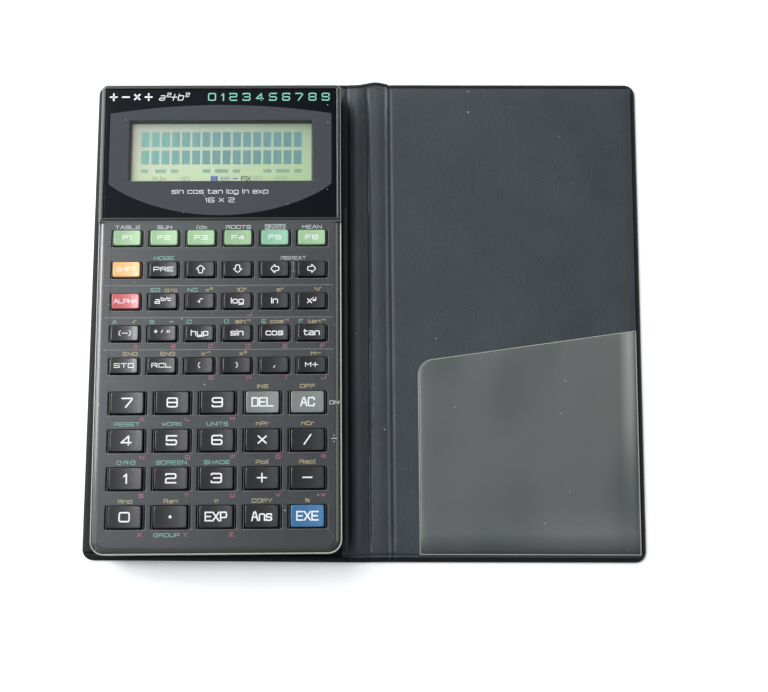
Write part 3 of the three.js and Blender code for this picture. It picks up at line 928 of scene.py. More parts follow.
def key_mesh(key):
    """A cap with a dished, round-edged top and nearly upright walls, on the flange that holds it in."""
    left, right, bottom, top = hole_area(key)
    side = WALL_INSET[key["large"]]
    wall = (left + side, right - side, bottom + FRONT_GAP, top - BACK_GAP)
    flange = hole_area(key, FLANGE_OVERHANG)
    crown = inset(wall, WALL_DRAFT)
    left, right, bottom, top = crown
    half = (right - left) / 2
    centre = (left + right) / 2

    def surface(x, y):
        distance = max(0.0, min(x - left, right - x, y - bottom, top - y, KEY_EDGE))
        drop = KEY_EDGE - math.sqrt(KEY_EDGE**2 - (KEY_EDGE - distance) ** 2)
        return key["top"] - drop - KEY_DISH * max(0.0, 1 - ((x - centre) / half) ** 2)

    edge = [0.0, 0.02 * MM, 0.06 * MM, 0.12 * MM, KEY_EDGE]
    xs, ys = spread(left, right, edge, 8), spread(bottom, top, edge, 4)
    across, up = len(xs), len(ys)
    flat = [(x, y) for y in ys for x in xs]
    vertices = [(*round_corner(x, y, crown, [KEY_CORNER] * 4), surface(x, y)) for x, y in flat]
    faces = grid_faces(across, up)
    rim = grid_rim(across, up)
    previous = rim
    shelf = key["low"] + FLANGE_THICKNESS
    levels = ((wall, FACE_TOP - 0.4 * MM), (wall, shelf), (flange, shelf), (flange, key["low"]))
    for rectangle, height in levels:
        first = len(vertices)
        for index in rim:
            x, y, _ = vertices[index]
            across_share, up_share = (x - left) / (right - left), (y - bottom) / (top - bottom)
            new_x = rectangle[0] + across_share * (rectangle[1] - rectangle[0])
            new_y = rectangle[2] + up_share * (rectangle[3] - rectangle[2])
            vertices.append((new_x, new_y, height))
        ring = range(first, first + len(rim))
        faces += band(previous, ring)
        previous = ring
    cap_faces = (across - 1) * (up - 1) + len(rim)
    faces.append(tuple(previous))
    return vertices, faces, surface, cap_faces


def legend_style(legend, large):
    if large and len(legend) > 1:
        return "word"
    if legend in ("*", "/"):
        return "slanted sign"
    if legend in ("+", "-"):
        return "level sign"
    if large:
        return "digit"
    if legend in "↑↓←→":
        return "arrow"
    if legend in ("SHIFT", "ALPHA"):
        return "mode"
    return "lower case" if legend.islower() else "capitals"


def write_legend(letters, key):
    x, y, legend = key["x"], key["y"] + (FRONT_GAP - BACK_GAP) / 2, key["legend"]
    if legend == "dot":
        letters.dot(x, y, POINT_RADIUS)
        return
    height, stroke, stretch = LEGEND_STYLES[legend_style(legend, key["large"])]
    letters.write(legend, x, y, height * MM, stroke, stretch)


def build_keys():
    for key in KEY_PLACES:
        vertices, faces, surface, cap_faces = key_mesh(key)
        letters = Lettering(lambda x, y, surface=surface: surface(x, y) + 0.02 * MM, 0.06 * MM)
        write_legend(letters, key)
        # The cap's walls and flange take the near-black skirt, which is painted shade.
        indices = [0] * cap_faces + [2] * (len(faces) - cap_faces) + [1] * len(letters.faces)
        vertices, faces = joined([(vertices, faces), (letters.vertices, letters.faces)])
        node = key["node"]
        slot = KEY_SLOTS[node]
        materials = [KEY_MATERIALS[slot], LEGEND_INK, SHADED_SKIRT_MATERIAL]
        belongs(add_object(node + "_cap", vertices, faces, materials, indices), node, slot, node)


def build_key_lips():
    """Painted highlights: pale lips along the lower and right edges of the key holes."""
    lips = Lettering(lambda x, y: FACE_TOP + 0.015 * MM, 0.05 * MM)
    for key in KEY_PLACES:
        left, right, bottom, top = hole_area(key, LIP_GAP)
        foot = [(left + LIP_CORNER, bottom), (right - LIP_CORNER, bottom)]
        side = [(right, bottom + LIP_CORNER), (right, top - LIP_CORNER)]
        lips.stroke(foot + side, False, LIP_WIDTH)
    lips.to_piece("key_hole_lips", LIP_HIGHLIGHT_MATERIAL, "calculator", "case")


def build_key_guides():
    """Slim upright ribs of the case on the left and right of every cap, lighter than the case as a painted
    highlight.
    """
    ribs = []
    for key in KEY_PLACES:
        left, right, bottom, top = hole_area(key)
        place = RIB_PLACE[key["large"]]
        for start in (left + place, right - place - RIB_WIDTH):
            section = [(start + across * RIB_WIDTH, FACE_TOP + height * MM) for across, height in RIB_SECTION]
            ends = [[(x, y, z) for x, z in section] for y in (bottom + RIB_END_GAP, top - RIB_END_GAP)]
            ribs.append(ring_mesh(ends, False))
    belongs(add_object("key_guide_ribs", *joined(ribs), [RIB_HIGHLIGHT_MATERIAL]), "calculator", "case")


# ---------------------------------------------------------------- case

CASE_OUTLINE = (LEFT, RIGHT, FOOT, TOP)
CASE_RADII = [BOTTOM_CORNER, BOTTOM_CORNER, TOP_CORNER, TOP_CORNER]
DISPLAY_OUTLINE = (LEFT, RIGHT, STEP_Y, TOP)
DISPLAY_RADII = [0.3 * MM, 0.3 * MM, TOP_CORNER, TOP_CORNER]
WALL = 1.3 * MM
CHAMFER = 0.8 * MM
HOLE_RADII = [0.5 * MM] * 4
PANEL_RADII = [1.5 * MM, 1.5 * MM, 0, 0]
KEY_PLACES = key_places()


def key_hole(key):
    return outline(hole_area(key), HOLE_RADII, 4)


def build_front_case():
    step = ((0.0, -1.12), (0.05, -1.0), (0.17, -0.93), (0.34, -0.92), (0.5, -0.97), (0.75, -0.93))
    slope = ((1.0, -0.78), (1.6, -0.38), (1.82, -0.14), (1.92, -0.02), (2.0, 0.0))
    under = FACE_TOP - FACE_THICKNESS
    profile = [(0.0, SPLIT), *over(FACE_TOP, step + slope), (2.0 * MM, under), (WALL, under), (WALL, SPLIT)]
    rim = swept_frame("front_case_shell", CASE_OUTLINE, CASE_RADII, profile, RIM_MATERIAL)
    belongs(rim, "calculator", "case", "front_case")

    face_area = (LEFT + RIM, RIGHT - RIM, FOOT + RIM, STEP_Y)
    corner = BOTTOM_CORNER - RIM * 0.8
    outlines = [outline(face_area, [corner, corner, 0, 0])] + [key_hole(key) for key in KEY_PLACES]
    face = plate_with_holes("keypad_face", outlines, under, FACE_TOP - 0.02 * MM, 0.1 * MM, FACE_MATERIAL)
    belongs(face, "calculator", "case")

    panel_area = (at_x(1.9), at_x(70.6), at_y(52.0), STEP_Y)
    function_keys = KEY_PLACES[: len(SMALL_ROWS[0])]
    outlines = [outline(panel_area, PANEL_RADII)] + [key_hole(key) for key in function_keys]
    low = FACE_TOP - 0.06 * MM
    panel = plate_with_holes("function_row_panel", outlines, low, FACE_TOP, 0.02 * MM, PANEL_MATERIAL)
    belongs(panel, "calculator", "case")


def build_display_bezel():
    base = FACE_TOP - 1.1 * MM
    outside = ((-0.02, -0.62), (0.08, -0.45), (0.25, -0.38), (0.62, -0.3), (0.74, -0.1), (0.86, 0.0))
    inside = ((1.14, 0.0), (1.24, -0.08))
    profile = [(-0.02 * MM, base), *over(DISPLAY_TOP, outside + inside), (1.24 * MM, base)]
    bezel = swept_frame("display_bezel", DISPLAY_OUTLINE, DISPLAY_RADII, profile, RIM_MATERIAL)
    belongs(bezel, "calculator", "case")


def build_edge_bead(name, area, radii, material, place, height, width):
    """A thin round bead along the cut edge of the clear holder; its pale colour is a painted highlight."""
    turns = [i * math.pi / 4 for i in range(8)]
    section = [(0.5 + 0.5 * math.cos(turn), 0.5 * math.sin(turn)) for turn in turns]
    profile = [(place + across * width, height + up * width) for across, up in section]
    belongs(swept_frame(name, area, radii, profile, material), "calculator", "case")


def build_edge_beads():
    keypad = ("keypad_edge_bead", CASE_OUTLINE, CASE_RADII, BEAD_HIGHLIGHT_MATERIAL)
    build_edge_bead(*keypad, 0.02 * MM, FACE_TOP - 0.95 * MM, 0.36 * MM)
    display = ("display_edge_bead", DISPLAY_OUTLINE, DISPLAY_RADII, DISPLAY_BEAD_HIGHLIGHT_MATERIAL)
    build_edge_bead(*display, 0.06 * MM, DISPLAY_TOP - 0.44 * MM, 0.24 * MM)


def build_rear_case():
    """An open tray: chamfered outside, then up over its edge and down to its floor."""
    levels = (
        (CHAMFER, REAR_LOW.z),
        (0.35 * CHAMFER, REAR_LOW.z + 0.35 * CHAMFER),
        (0.0, REAR_LOW.z + CHAMFER),
        (0.0, REAR_HIGH.z - 0.15 * MM),
        (0.15 * MM, REAR_HIGH.z),
        (WALL, REAR_HIGH.z),
        (WALL, REAR_LOW.z + 1.2 * MM),
    )
    rings = [inset_ring(CASE_OUTLINE, CASE_RADII, distance, height) for distance, height in levels]
    tray = ring_object("rear_case_tray", rings, REAR_MATERIAL)
    belongs(tray, "calculator", "rear_case", "rear_case")


# ---------------------------------------------------------------- display

WINDOW = (at_x(8.5), at_x(64.1), at_y(30.45), at_y(11.3))
VISIBLE_DISPLAY = (at_x(9.05), at_x(63.6), at_y(30.15), at_y(11.75))
WINDOW_RADII = [0.6 * MM] * 4
PLATE_RADII = [0.4 * MM] * 4
PANEL_RADIUS = [0.3 * MM] * 4


def barrel_outline():
    """The grey zone round the window: straight sides, and shallow arcs above and below."""
    left, right = at_x(2.8), at_x(69.7)
    upper, lower = at_y(9.2), at_y(31.3)
    crown, foot = at_y(6.5), at_y(41.1)
    steps = 28
    bottom = []
    top = []
    for i in range(steps + 1):
        t = i / steps
        bulge = 1 - (2 * t - 1) ** 2
        bottom.append((left + (right - left) * t, lower + (foot - lower) * bulge**0.85))
        top.append((right + (left - right) * t, upper + (crown - upper) * bulge))
    return bottom + top


def build_display_plate():
    plate_edge = outline((PLATE_LOW.x, PLATE_HIGH.x, PLATE_LOW.y, PLATE_HIGH.y), PLATE_RADII)
    window = outline(WINDOW, WINDOW_RADII)
    top = PLATE_HIGH.z
    low, high = LCD_HIGH.z + 0.1 * MM, top - 0.02 * MM
    plate = plate_with_holes("display_plate", [plate_edge, window], low, high, 0.08 * MM, BLACK_PLATE)
    belongs(plate, "calculator", "window", "display_window")

    outlines = [barrel_outline(), window]
    low, high = top - 0.1 * MM, top - 0.005 * MM
    barrel = plate_with_holes("display_surround", outlines, low, high, 0.015 * MM, BARREL_MATERIAL)
    belongs(barrel, "calculator", "window")

    edge = outline(inset(WINDOW, -0.02 * MM), WINDOW_RADII)
    rings = [level(edge, top - depth) for depth in (0.35 * MM, 0.05 * MM)]
    belongs(ring_object("display_pane", rings, window_glass("pane_glass")), "calculator", "window")


def build_display_gasket():
    """The black funnel between the window and the display."""
    depth = LCD_HIGH.z + 0.06 * MM
    upper = PLATE_HIGH.z - 0.4 * MM
    outer = outline(inset(WINDOW, -0.4 * MM), WINDOW_RADII)
    rim = outline(inset(WINDOW, 0.03 * MM), WINDOW_RADII)
    inner = outline(VISIBLE_DISPLAY, WINDOW_RADII)
    stages = ((outer, depth), (outer, upper), (rim, upper), (inner, depth + 0.1 * MM), (inner, depth))
    rings = [level(points, height) for points, height in stages]
    belongs(ring_object("display_gasket", rings, GASKET_MATERIAL, closed=True), "calculator", "window")


def cell_boxes():
    """Rectangles of the display's cells: two rows of sixteen characters."""
    boxes = []
    for top, bottom in ((14.4, 19.1), (20.2, 24.6)):
        for column in range(16):
            left = 12.0 + column * 3.08
            boxes.append((at_x(left), at_x(left + 2.4), at_y(bottom), at_y(top)))
    return boxes


def square_corners(rectangle):
    left, right, bottom, top = rectangle
    return [(left, bottom), (right, bottom), (right, top), (left, top)]


def flat_boxes(boxes, low, high):
    """Vertices and faces of thin blocks."""
    outlines = [square_corners(box) for box in boxes]
    return joined([ring_mesh([level(points, low), level(points, high)], False) for points in outlines])


# Places on the display, in millimetres in from the case's left side and down from its top edge
ICON_LINE = 26.7
MARK_LINE = 29.1
ICON_SPANS = (
    (12, 14.2), (16.4, 19.6), (21, 23.3), (30.6, 33), (34.4, 38.4), (39.8, 42),
    (49, 51.4), (52.9, 57), (58.4, 60.6),
)
BLUE_BARS = ((34.2, 2.1, 1.6), (37.3, 2.6, 0.3), (40.6, 1.6, 0.3))
FAINT_WORDS = (("RUN", 17.5), ("SD", 25.5), ("EG", 37.6), ("SCI", 47.4), ("HYP", 54.5))


def print_at(height):
    """Lettering that lies flat at one height."""
    return Lettering(lambda x, y: height)


def build_display_marks(high):
    icons = print_at(high)
    for left, right in ICON_SPANS:
        icons.bar(at_x((left + right) / 2), at_y(ICON_LINE), (right - left) * MM, 1.1 * MM)
    faint = display_cells("display_icons", (0.25, 0.41, 0.31), (0.21, 0.34, 0.26))
    icons.to_piece("display_icons", faint, "calculator", "lcd")

    blue = print_at(high)
    for x, width, height in BLUE_BARS:
        blue.bar(at_x(x), at_y(MARK_LINE), width * MM, height * MM)
    blue.to_piece("display_mark_blue", printed("display_blue", (0.06, 0.07, 0.42)), "calculator", "lcd")

    dark = print_at(high)
    dark.write("FIX", at_x(43.8), at_y(MARK_LINE), 1.25 * MM, 0.22, 0.85)
    dark.to_piece("display_mark_dark", printed("display_dark", (0.05, 0.08, 0.07)), "calculator", "lcd")

    marks = print_at(high + 0.02 * MM)
    for word, x in FAINT_WORDS:
        marks.write(word, at_x(x), at_y(MARK_LINE), 1.15 * MM, 0.16, 0.9)
    marks.write("D", at_x(BLUE_BARS[0][0]), at_y(MARK_LINE), 1.0 * MM, 0.16, 0.9)
    marks.to_piece("display_marks_faint", printed("display_faint", (0.3, 0.41, 0.3)), "calculator", "lcd")


def build_display():
    area = (LCD_LOW.x, LCD_HIGH.x, LCD_LOW.y, LCD_HIGH.y)
    levels = ((0.0, LCD_LOW.z), (0.0, LCD_HIGH.z - 0.2 * MM), (0.2 * MM, LCD_HIGH.z))
    rings = [level(outline(inset(area, distance), PANEL_RADIUS), height) for distance, height in levels]
    panel = ring_object("display_panel", rings, display_ground("display_ground"))
    belongs(panel, "calculator", "lcd", "lcd_glass")

    high = LCD_HIGH.z + 0.015 * MM
    vertices, faces = flat_boxes(cell_boxes(), LCD_HIGH.z - 0.05 * MM, high)
    lit = display_cells("display_cells", (0.165, 0.38, 0.335), (0.125, 0.26, 0.27))
    belongs(add_object("display_cells", vertices, faces, [lit]), "calculator", "lcd")
    build_display_marks(high)


# ---------------------------------------------------------------- print on the case

CAPTION = 0.98 * MM
CAPTION_HEIGHT = FACE_TOP + 0.012 * MM


def build_header():
    """Plain digits and signs in place of the lettering on the display plate."""
    height = PLATE_HIGH.z + 0.012 * MM
    signs = print_at(height)
    signs.write("+ - * ÷", at_x(8.9), at_y(3.9), 1.95 * MM, 0.24, 0.98)
    signs.write("a^2_+b^2", at_x(22.0), at_y(3.95), 1.9 * MM, 0.12, 0.9, lean=0.25)
    signs.to_piece("header_marks_white", HEADER_WHITE, "calculator", "window")
    digits = print_at(height)
    digits.write("0 1 2 3 4 5 6 7 8 9", at_x(50.7), at_y(3.9), 2.15 * MM, 0.16, 0.97)
    digits.to_piece("header_marks_green", HEADER_GREEN, "calculator", "window")
    foot = print_at(height)
    foot.write("sin cos tan log ln exp", at_x(36.2), at_y(33.7), 1.3 * MM, 0.13, 1.12)
    foot.write("16 * 2", at_x(36.2), at_y(36.4), 1.3 * MM, 0.13, 1.3)
    foot.to_piece("plate_caption_marks", LEGEND_INK, "calculator", "window")


SMALL_X = [8.8 + 11.0 * i for i in range(6)]
LARGE_X = [10.0 + 13.15 * i for i in range(5)]
WHITE_CAPTIONS = (
    ("TABLE", SMALL_X[0], 44.7),
    ("SUM", SMALL_X[1], 44.7),
    ("∫dx", SMALL_X[2], 44.7),
    ("ROOTS", SMALL_X[3], 44.7),
    ("MEAN", SMALL_X[5], 44.7),
    ("ON", 70.4, 97.8),
)
GREEN_CAPTIONS = (
    ("MODE", SMALL_X[1], 54.2),
    ("EG", SMALL_X[1] - 2.4, 63.9),
    ("NO", SMALL_X[2] - 2.4, 63.9),
    ("RESET", LARGE_X[0], 103.9),
    ("WORK", LARGE_X[1], 103.9),
    ("UNITS", LARGE_X[2], 103.9),
    ("D·R·G", LARGE_X[0], 115.1),
    ("SCREEN", LARGE_X[1], 115.1),
    ("SHADE", LARGE_X[2], 115.1),
    ("GROUP", LARGE_X[1] - 1.0, 136.0),
)
AMBER_CAPTIONS = (
    ("d/c", SMALL_X[1] + 2.2, 63.9),
    ("x^2", SMALL_X[2] + 2.6, 63.9),
    ("10^x", SMALL_X[3] + 1.2, 63.9),
    ("e^x", SMALL_X[4] + 1.6, 63.9),
    ("^x_√", SMALL_X[5] + 1.8, 63.9),
    ("√", SMALL_X[0] + 2.6, 73.5),
    ("-", SMALL_X[1] + 2.6, 73.5),
    ("sin^-1", SMALL_X[3] + 1.6, 73.5),
    ("cos^-1", SMALL_X[4] + 1.4, 73.5),
    ("tan^-1", SMALL_X[5] + 1.4, 73.5),
    ("ENG", SMALL_X[0] + 1.6, 83.1),
    ("ENG", SMALL_X[1] + 1.6, 83.1),
    ("x^-1", SMALL_X[2] + 1.8, 83.1),
    ("x^3", SMALL_X[3] + 1.8, 83.1),
    ("M-", SMALL_X[5] + 1.2, 83.1),
    ("INS", LARGE_X[3], 92.9),
    ("OFF", LARGE_X[4], 92.9),
    ("nPr", LARGE_X[3], 103.9),
    ("nCr", LARGE_X[4], 103.9),
    ("Pol(", LARGE_X[3], 115.1),
    ("Rec(", LARGE_X[4], 115.1),
    ("Rnd", LARGE_X[0], 126.3),
    ("Ran", LARGE_X[1], 126.3),
    ("π", LARGE_X[2], 126.3),
    ("COPY", LARGE_X[3], 126.3),
    ("%", LARGE_X[4], 126.3),
)
LETTER_ROWS = (
    ("ABCDEF", [x + 3.2 for x in SMALL_X], 80.9),
    ("GHIJ", [SMALL_X[i] + 3.5 for i in (2, 3, 4, 5)], 90.3),
    ("KLM", [x + 4.4 for x in LARGE_X[:3]], 102.4),
    ("NOPQR", [x + 4.6 for x in LARGE_X], 113.6),
    ("STUVW", [x + 4.6 for x in LARGE_X], 124.7),
    ("XYZ", [x + 4.4 for x in LARGE_X[:3]], 135.9),
)


def caption_set(name, captions, material):
    letters = print_at(CAPTION_HEIGHT)
    for text, x, y in captions:
        letters.write(text, at_x(x), at_y(y), CAPTION, 0.18, 1.2)
    letters.to_piece(name, material, "calculator", "case")


def build_captions():
    caption_set("captions_white", WHITE_CAPTIONS, WHITE_INK)
    caption_set("captions_amber", AMBER_CAPTIONS, AMBER_INK)
    row_letters = [(letter, SMALL_X[i] - 3.2, 73.5) for i, letter in enumerate("ABCDEF")]
    caption_set("captions_green", [*GREEN_CAPTIONS, *row_letters], GREEN_INK)
    red = [(letter, x, y) for letters, xs, y in LETTER_ROWS for letter, x in zip(letters, xs)]
    red += [(":", SMALL_X[2] + 3.6, 71.2), ("J", SMALL_X[3] + 3.6, 71.2)]
    caption_set("captions_red", red, RED_INK)


def build_face_lines(middle):
    """Fine lines between the upper rows, and the bracket that joins the two arrow keys."""
    lines = print_at(FACE_TOP + 0.006 * MM)
    for y in (62.55, 72.25, 81.9):
        lines.bar(at_x(36.3), at_y(y), 67.8 * MM, 0.13 * MM)
    top, foot, half = at_y(55.4), at_y(58.4), 0.7 * MM
    for path in ([(middle, top), (middle, foot)], [(middle - half, foot), (middle + half, foot)]):
        lines.stroke(path, False, 0.16 * MM)
    lines.to_piece("face_lines", LINE_MATERIAL, "calculator", "case")


def build_extra_captions(middle):
    """The boxed caption, the one over the arrow keys, and a small division sign by the right edge."""
    white = print_at(CAPTION_HEIGHT)
    white.write("REPEAT", middle, at_y(54.3), CAPTION, 0.15, 1.0)
    white.bar(at_x(70.3), at_y(108.4), 1.7 * MM, 0.2 * MM)
    for y in (107.5, 109.3):
        white.dot(at_x(70.3), at_y(y), 0.17 * MM)
    frame_area = around(at_x(SMALL_X[4]), at_y(44.7), 6.0 * MM, 1.5 * MM)
    white.stroke(square_corners(frame_area), True, 0.14 * MM)
    white.write("BINARY", at_x(SMALL_X[4]), at_y(44.7), 0.95 * MM, 0.16, 0.95)
    white.to_piece("captions_extra", WHITE_INK, "calculator", "case")


def build_face_print():
    build_captions()
    middle = (at_x(SMALL_X[4]) + at_x(SMALL_X[5])) / 2
    build_face_lines(middle)
    build_extra_captions(middle)


# ---------------------------------------------------------------- wallet

EDGE_STEPS = [s * MM for s in (0.0, 0.1, 0.25, 0.5, 0.75, 1.0, 1.4, 1.75, 1.9, 2.05, 2.2, 2.35, 3.0, 4.5)]
WALLET_CORNER = 3.2 * MM
CREASE_X = (SPINE_FOLD + COVER_FOLD) / 2
WALLET_FOOT, WALLET_TOP = BACK_LOW.y, BACK_HIGH.y
WALLET_LEFT, WALLET_RIGHT = BACK_LOW.x, COVER_HIGH.x
DARK_EDGE = 1.3 * MM


def smoothstep(low, high, value):
    t = min(1.0, max(0.0, (value - low) / (high - low)))
    return t * t * (3 - 2 * t)


def hump(x, centre, half_width):
    t = (x - centre) / half_width
    return math.cos(t * math.pi / 2) ** 2 if abs(t) < 1 else 0.0


def spine_profile(x):
    """Height of the vinyl over the panels' top, across the spine: soft rolls, creases and a welded ridge."""
    rise = 0.4 * MM * hump(x, SPINE_FOLD + 3.3 * MM, 3.1 * MM)
    rise += 0.16 * MM * hump(x, COVER_FOLD - 3.0 * MM, 3.1 * MM)
    rise += 0.5 * MM * hump(x, COVER_FOLD - 0.15 * MM, 0.5 * MM)
    rise -= 0.28 * MM * hump(x, COVER_FOLD + 0.75 * MM, 0.6 * MM)
    rise -= 0.5 * MM * hump(x, SPINE_FOLD - 0.2 * MM, 0.9 * MM)
    return rise


def edge_profile(distance, foot_distance):
    """Height lost towards an outer edge: a rolled lip, and along the foot the pressed line of the weld."""
    roll = 0.75 * MM * (1 - smoothstep(-0.35 * MM, 1.0 * MM, distance))
    crown = 0.28 * MM * (1 - smoothstep(0, 4.5 * MM, distance))
    weld = 0.28 * MM * hump(foot_distance, 2.05 * MM, 0.3 * MM)
    return roll + crown + weld


def wallet_margin(x, y):
    """How far a place lies inside the wallet's outer edge."""
    return min(x - WALLET_LEFT, WALLET_RIGHT - x, y - WALLET_FOOT, WALLET_TOP - y)


def wallet_top(x, y):
    ends = smoothstep(0, 9 * MM, min(y - WALLET_FOOT, WALLET_TOP - y))
    flatten = 0.4 + 0.6 * ends
    crumple = math.sin(y * 1500 + 4 * math.sin(y * 310)) * math.sin(y * 437 + 0.9)
    wrinkle = 0.12 * MM * crumple * hump(x, CREASE_X, 1.8 * MM) * ends
    drift = 0.3 * MM * math.sin(y * 45 + 1.0) + 0.1 * MM * crumple
    crease = 0.6 * MM * hump(x, CREASE_X + drift, 0.9 * MM) * ends
    lost = edge_profile(wallet_margin(x, y), y - WALLET_FOOT)
    return PANEL_TOP - lost + spine_profile(x) * flatten + wrinkle - crease


def wallet_bottom(x, y):
    return 0.35 * MM * (1 - smoothstep(0, 0.9 * MM, wallet_margin(x, y)))


def relaxed(x, y):
    """Where a point of the soft wallet really lies: its panels are slightly out of square."""
    up = (y - WALLET_FOOT) / (WALLET_TOP - WALLET_FOOT)
    if x < SPINE_FOLD:
        out = (SPINE_FOLD - x) / (SPINE_FOLD - BACK_LOW.x)
        return x - 1.1 * MM * out * (1 - up), y + 1.3 * MM * out * (1 - up)
    if x > COVER_FOLD:
        out = (x - COVER_FOLD) / (COVER_HIGH.x - COVER_FOLD)
        return x + out * (2.5 * up - 0.5) * MM, y - out * (0.8 - 0.5 * up) * MM
    arch = 0.9 * MM * hump(x, CREASE_X + 2.4 * MM, 6 * MM) * smoothstep(0.9, 1.0, up)
    return x, y + arch


def edge_margin(point):
    """How far a point of the relaxed wallet lies inside its outer edge."""
    moved = relaxed(point.x, point.y)
    return wallet_margin(2 * point.x - moved[0], 2 * point.y - moved[1])


def wallet_skin(name, xs, radii, shaded_to):
    """One skin of vinyl. Painted shade darkens its edge, and all of it up to a given X, where the calculator
    covers it.
    """
    ys = spread(WALLET_FOOT, WALLET_TOP, EDGE_STEPS, 150)
    materials = [VINYL_MATERIAL, SHADED_VINYL_MATERIAL]
    skin = grid_slab(name, xs, ys, radii, wallet_top, wallet_bottom, materials, relaxed)
    for face in skin.data.polygons:
        if face.center.x < shaded_to or edge_margin(face.center) < DARK_EDGE:
            face.material_index = 1
    return skin


def build_wallet():
    """Two skins that meet at the middle of the spine. Each runs across one fold."""
    left_xs = [WALLET_LEFT + step for step in EDGE_STEPS]
    left_xs += even_steps(WALLET_LEFT + 8 * MM, SPINE_FOLD - 8 * MM, 12)
    left_xs += even_steps(SPINE_FOLD - 3 * MM, CREASE_X, 30)
    back = wallet_skin("wallet_back_skin", left_xs, [WALLET_CORNER, 0, 0, WALLET_CORNER], RIGHT)
    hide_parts("wallet_back", "wallet_spine")
    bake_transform(back)

    right_xs = even_steps(CREASE_X, COVER_FOLD + 3 * MM, 30)
    right_xs += even_steps(COVER_FOLD + 8 * MM, WALLET_RIGHT - 8 * MM, 16)
    right_xs += [WALLET_RIGHT - step for step in reversed(EDGE_STEPS)]
    cover = wallet_skin("wallet_cover_skin", right_xs, [0, WALLET_CORNER, WALLET_CORNER, 0], WALLET_LEFT)
    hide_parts("wallet_cover")
    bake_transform(cover)


POCKET_LEFT = COVER_FOLD + 8.4 * MM
POCKET_RIGHT = COVER_HIGH.x - 1.5 * MM
POCKET_FOOT = WALLET_FOOT + 2.1 * MM
POCKET_LOW_SIDE = WALLET_FOOT + 60.6 * MM
POCKET_HIGH_SIDE = WALLET_FOOT + 69.4 * MM
POCKET_CORNER = 5 * MM


def pocket_outline(distance):
    """The card pocket's outline, a given distance inside its edge, anticlockwise from the bottom left."""
    left, right = POCKET_LEFT + distance, POCKET_RIGHT - distance
    foot = POCKET_FOOT + distance
    low, high = POCKET_LOW_SIDE - distance, POCKET_HIGH_SIDE - distance
    radius = max(POCKET_CORNER - distance, 1.0 * MM)
    points = [(x, foot) for x in even_steps(left, right, 12)]
    points += [(right, y) for y in even_steps(foot, high, 12)[1:]]
    points += list(zip(even_steps(right, left + radius, 14), even_steps(high, low, 14)))[1:]
    for i in range(1, 9):
        angle = math.pi / 2 * (1 + i / 8)
        points.append((left + radius + radius * math.cos(angle), low - radius + radius * math.sin(angle)))
    points += [(left, y) for y in even_steps(low - radius, foot, 10)[1:-1]]
    return [relaxed(x, y) for x, y in points]


def build_pocket():
    """A clear film, slightly blown up, welded round three sides, with a cut edge whose pale colour is a
    painted highlight.
    """
    section = ((0.0, -0.15), (0.0, 0.08), (0.3, 0.26), (0.8, 0.42), (1.8, 0.5), (4.2, 0.62), (8.0, 0.7))
    rings = [level(pocket_outline(distance), height) for distance, height in over(PANEL_TOP, section)]
    belongs(ring_object("card_pocket_film", rings, FILM_MATERIAL, smooth_angle=60), "cover", "vinyl")
    bead = Lettering(lambda x, y: PANEL_TOP + 0.34 * MM, 0.5 * MM)
    bead.stroke(pocket_outline(0.1 * MM), True, 0.26 * MM)
    bead.to_piece("card_pocket_bead", FILM_EDGE_HIGHLIGHT_MATERIAL, "cover", "vinyl")


def build_spine_details():
    """The lip of the calculator's holder beside the case; near-black strips that paint the shadow in the
    holder's slot and the shade in the slit at the top of the spine.
    """
    slot = Lettering(lambda x, y: PANEL_TOP - 0.02 * MM, 0.25 * MM)
    place = RIGHT + 1.0 * MM
    slot.stroke([(place, TOP - 2.5 * MM), (place, TOP - 35.5 * MM)], False, 0.75 * MM)
    slot.to_piece("holder_slot", SLOT_SHADE_MATERIAL, "calculator", "vinyl")

    lip = Lettering(lambda x, y: PANEL_TOP + 0.25 * MM, 0.5 * MM)
    place = RIGHT + 0.5 * MM
    lip.stroke([(place, TOP + 0.5 * MM), (place, FOOT + 4 * MM)], False, 0.22 * MM)
    lip.to_piece("holder_lip", VINYL_MATERIAL, "calculator", "vinyl")

    slit = Lettering(lambda x, y: wallet_top(x, y - 0.5 * MM) + 0.05 * MM, 0.3 * MM)
    path = []
    for i in range(13):
        t = i / 12
        path.append((CREASE_X + (-1.6 + 5.6 * t) * MM, WALLET_TOP - (1.9 - 1.0 * math.sin(math.pi * t)) * MM))
    slit.stroke(path, False, 0.35 * MM)
    slit.to_piece("spine_slit", SLOT_SHADE_MATERIAL, "spine", "vinyl")


# ---------------------------------------------------------------- pieces inside


def dress_inner_nodes():
    """The pieces that never show keep their CAD shape and get a worked material."""
    finishes = {
        "key_membrane": plastic("membrane_rubber", (0.3, 0.31, 0.32), 0.7, grain=0.02 * MM),
        "circuit_board": circuit_green("board_green"),
        "battery": metal("cell_steel", (0.72, 0.73, 0.74), 0.3),
    }
    for node, material in finishes.items():
        mesh = frame["nodes"][node].data
        mesh.materials.clear()
        mesh.materials.append(material)


# ---------------------------------------------------------------- stage

CAMERA_PLACE = (-1.87 * MM, -81.37 * MM, 403.94 * MM)
CAMERA_TURN = (10.142, -0.945, -0.494)
CAMERA_LENS = 63.28
SENSOR_WIDTH = 36
FLOOR_HALF = 4.0
DAYLIGHT = (0.97, 0.98, 1.0)


def build_floor():
    half = FLOOR_HALF
    vertices = [(-half, -half, 0), (half, -half, 0), (half, half, 0), (-half, half, 0)]
    material, tree, shader = new_material("floor_white")
    paper = ramp(tree, noise(tree, 9, 3), [(0.3, (0.83, 0.84, 0.85)), (0.7, (0.88, 0.885, 0.89))])
    tree.links.new(paper, shader.inputs["Base Color"])
    shader.inputs["Roughness"].default_value = 0.85
    floor = add_object("floor", vertices, [(0, 1, 2, 3)], [material])


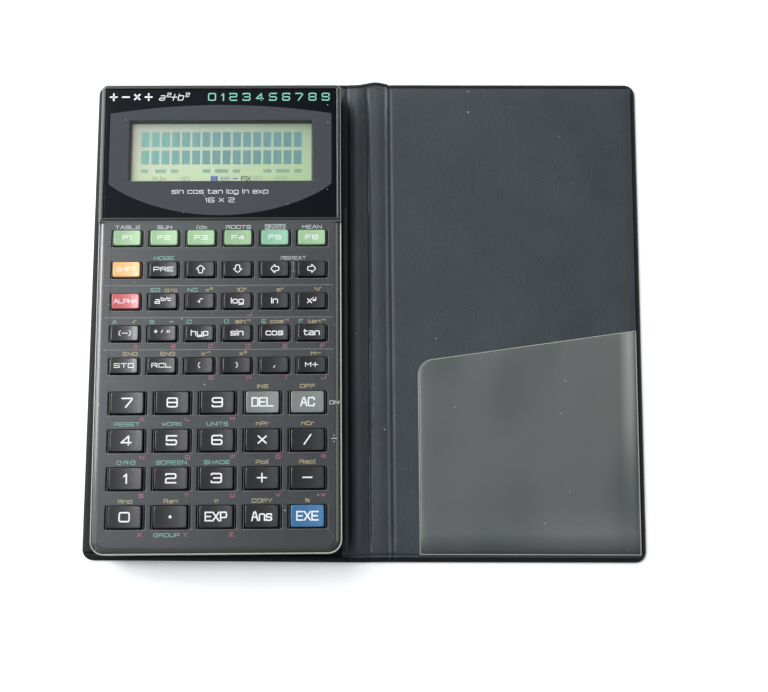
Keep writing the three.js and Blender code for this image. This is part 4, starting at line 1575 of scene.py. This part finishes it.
def area_light(name, place, aim, size, power, colour=(1, 1, 1)):
    light = bpy.data.lights.new(name, "AREA")
    light.shape = "RECTANGLE"
    light.size, light.size_y = size
    light.energy = power
    light.color = colour
    holder = bpy.data.objects.new(name, light)
    holder.location = place
    direction = Vector(aim) - Vector(place)
    holder.rotation_euler = direction.to_track_quat("-Z", "Y").to_euler()
    bpy.context.scene.collection.objects.link(holder)


def build_lights():
    area_light("window_light", (-0.95, 0.66, 0.85), (-0.02, 0, 0), (1.5, 1.5), 31, DAYLIGHT)
    area_light("ceiling_patch", (-0.45, 0.14, 0.9), (-0.03, 0, 0), (0.24, 0.24), 3.0, DAYLIGHT)
    area_light("left_reflector", (-0.95, 0.27, 0.22), (-0.08, 0.02, 0), (0.5, 0.2), 3.0)
    area_light("right_reflector", (0.9, 0.1, 0.26), (0.03, 0, 0), (0.7, 0.2), 1.0)


def build_world():
    """A pale room: bright low down, dark overhead, with a glow from the left and a darker front."""
    world = bpy.data.worlds.new("studio")
    bpy.context.scene.world = world
    world.use_nodes = True
    tree = world.node_tree
    x, y, z = box_axes(tree)
    height = ramp(tree, z, [(0.0, 0.95), (0.45, 0.6), (0.88, 0.13), (1.0, 0.1)])
    glow = ramp(tree, remap(tree, x, 0.0, 1.0, 0.02, -0.32), [(0.0, 0.0), (1.0, 0.55)])
    front = ramp(tree, remap(tree, y, 0.0, 1.0, -0.7, 0.2), [(0.0, 0.8), (1.0, 1.0)])
    total = mix_colour(tree, 1.0, multiply(tree, height, front), glow, "ADD")
    tint = multiply(tree, total, (0.95, 0.98, 1.0))
    feed(tree, tree.nodes["Background"], {"Color": tint, "Strength": 1.0})


def build_camera():
    camera = bpy.data.cameras.new("camera")
    camera.lens = CAMERA_LENS
    camera.sensor_width = SENSOR_WIDTH
    camera.clip_start = 0.01
    holder = bpy.data.objects.new("camera", camera)
    holder.location = CAMERA_PLACE
    holder.rotation_euler = [math.radians(angle) for angle in CAMERA_TURN]
    bpy.context.scene.collection.objects.link(holder)
    bpy.context.scene.camera = holder
    bpy.context.scene.view_settings.view_transform = "Standard"


build_camera()
build_floor()
build_lights()
build_world()
build_wallet()
build_pocket()
build_spine_details()
build_rear_case()
build_front_case()
build_display_bezel()
build_edge_beads()
build_display_plate()
build_display_gasket()
build_display()
build_header()
build_face_print()
build_keys()
build_key_lips()
build_key_guides()
dress_inner_nodes()
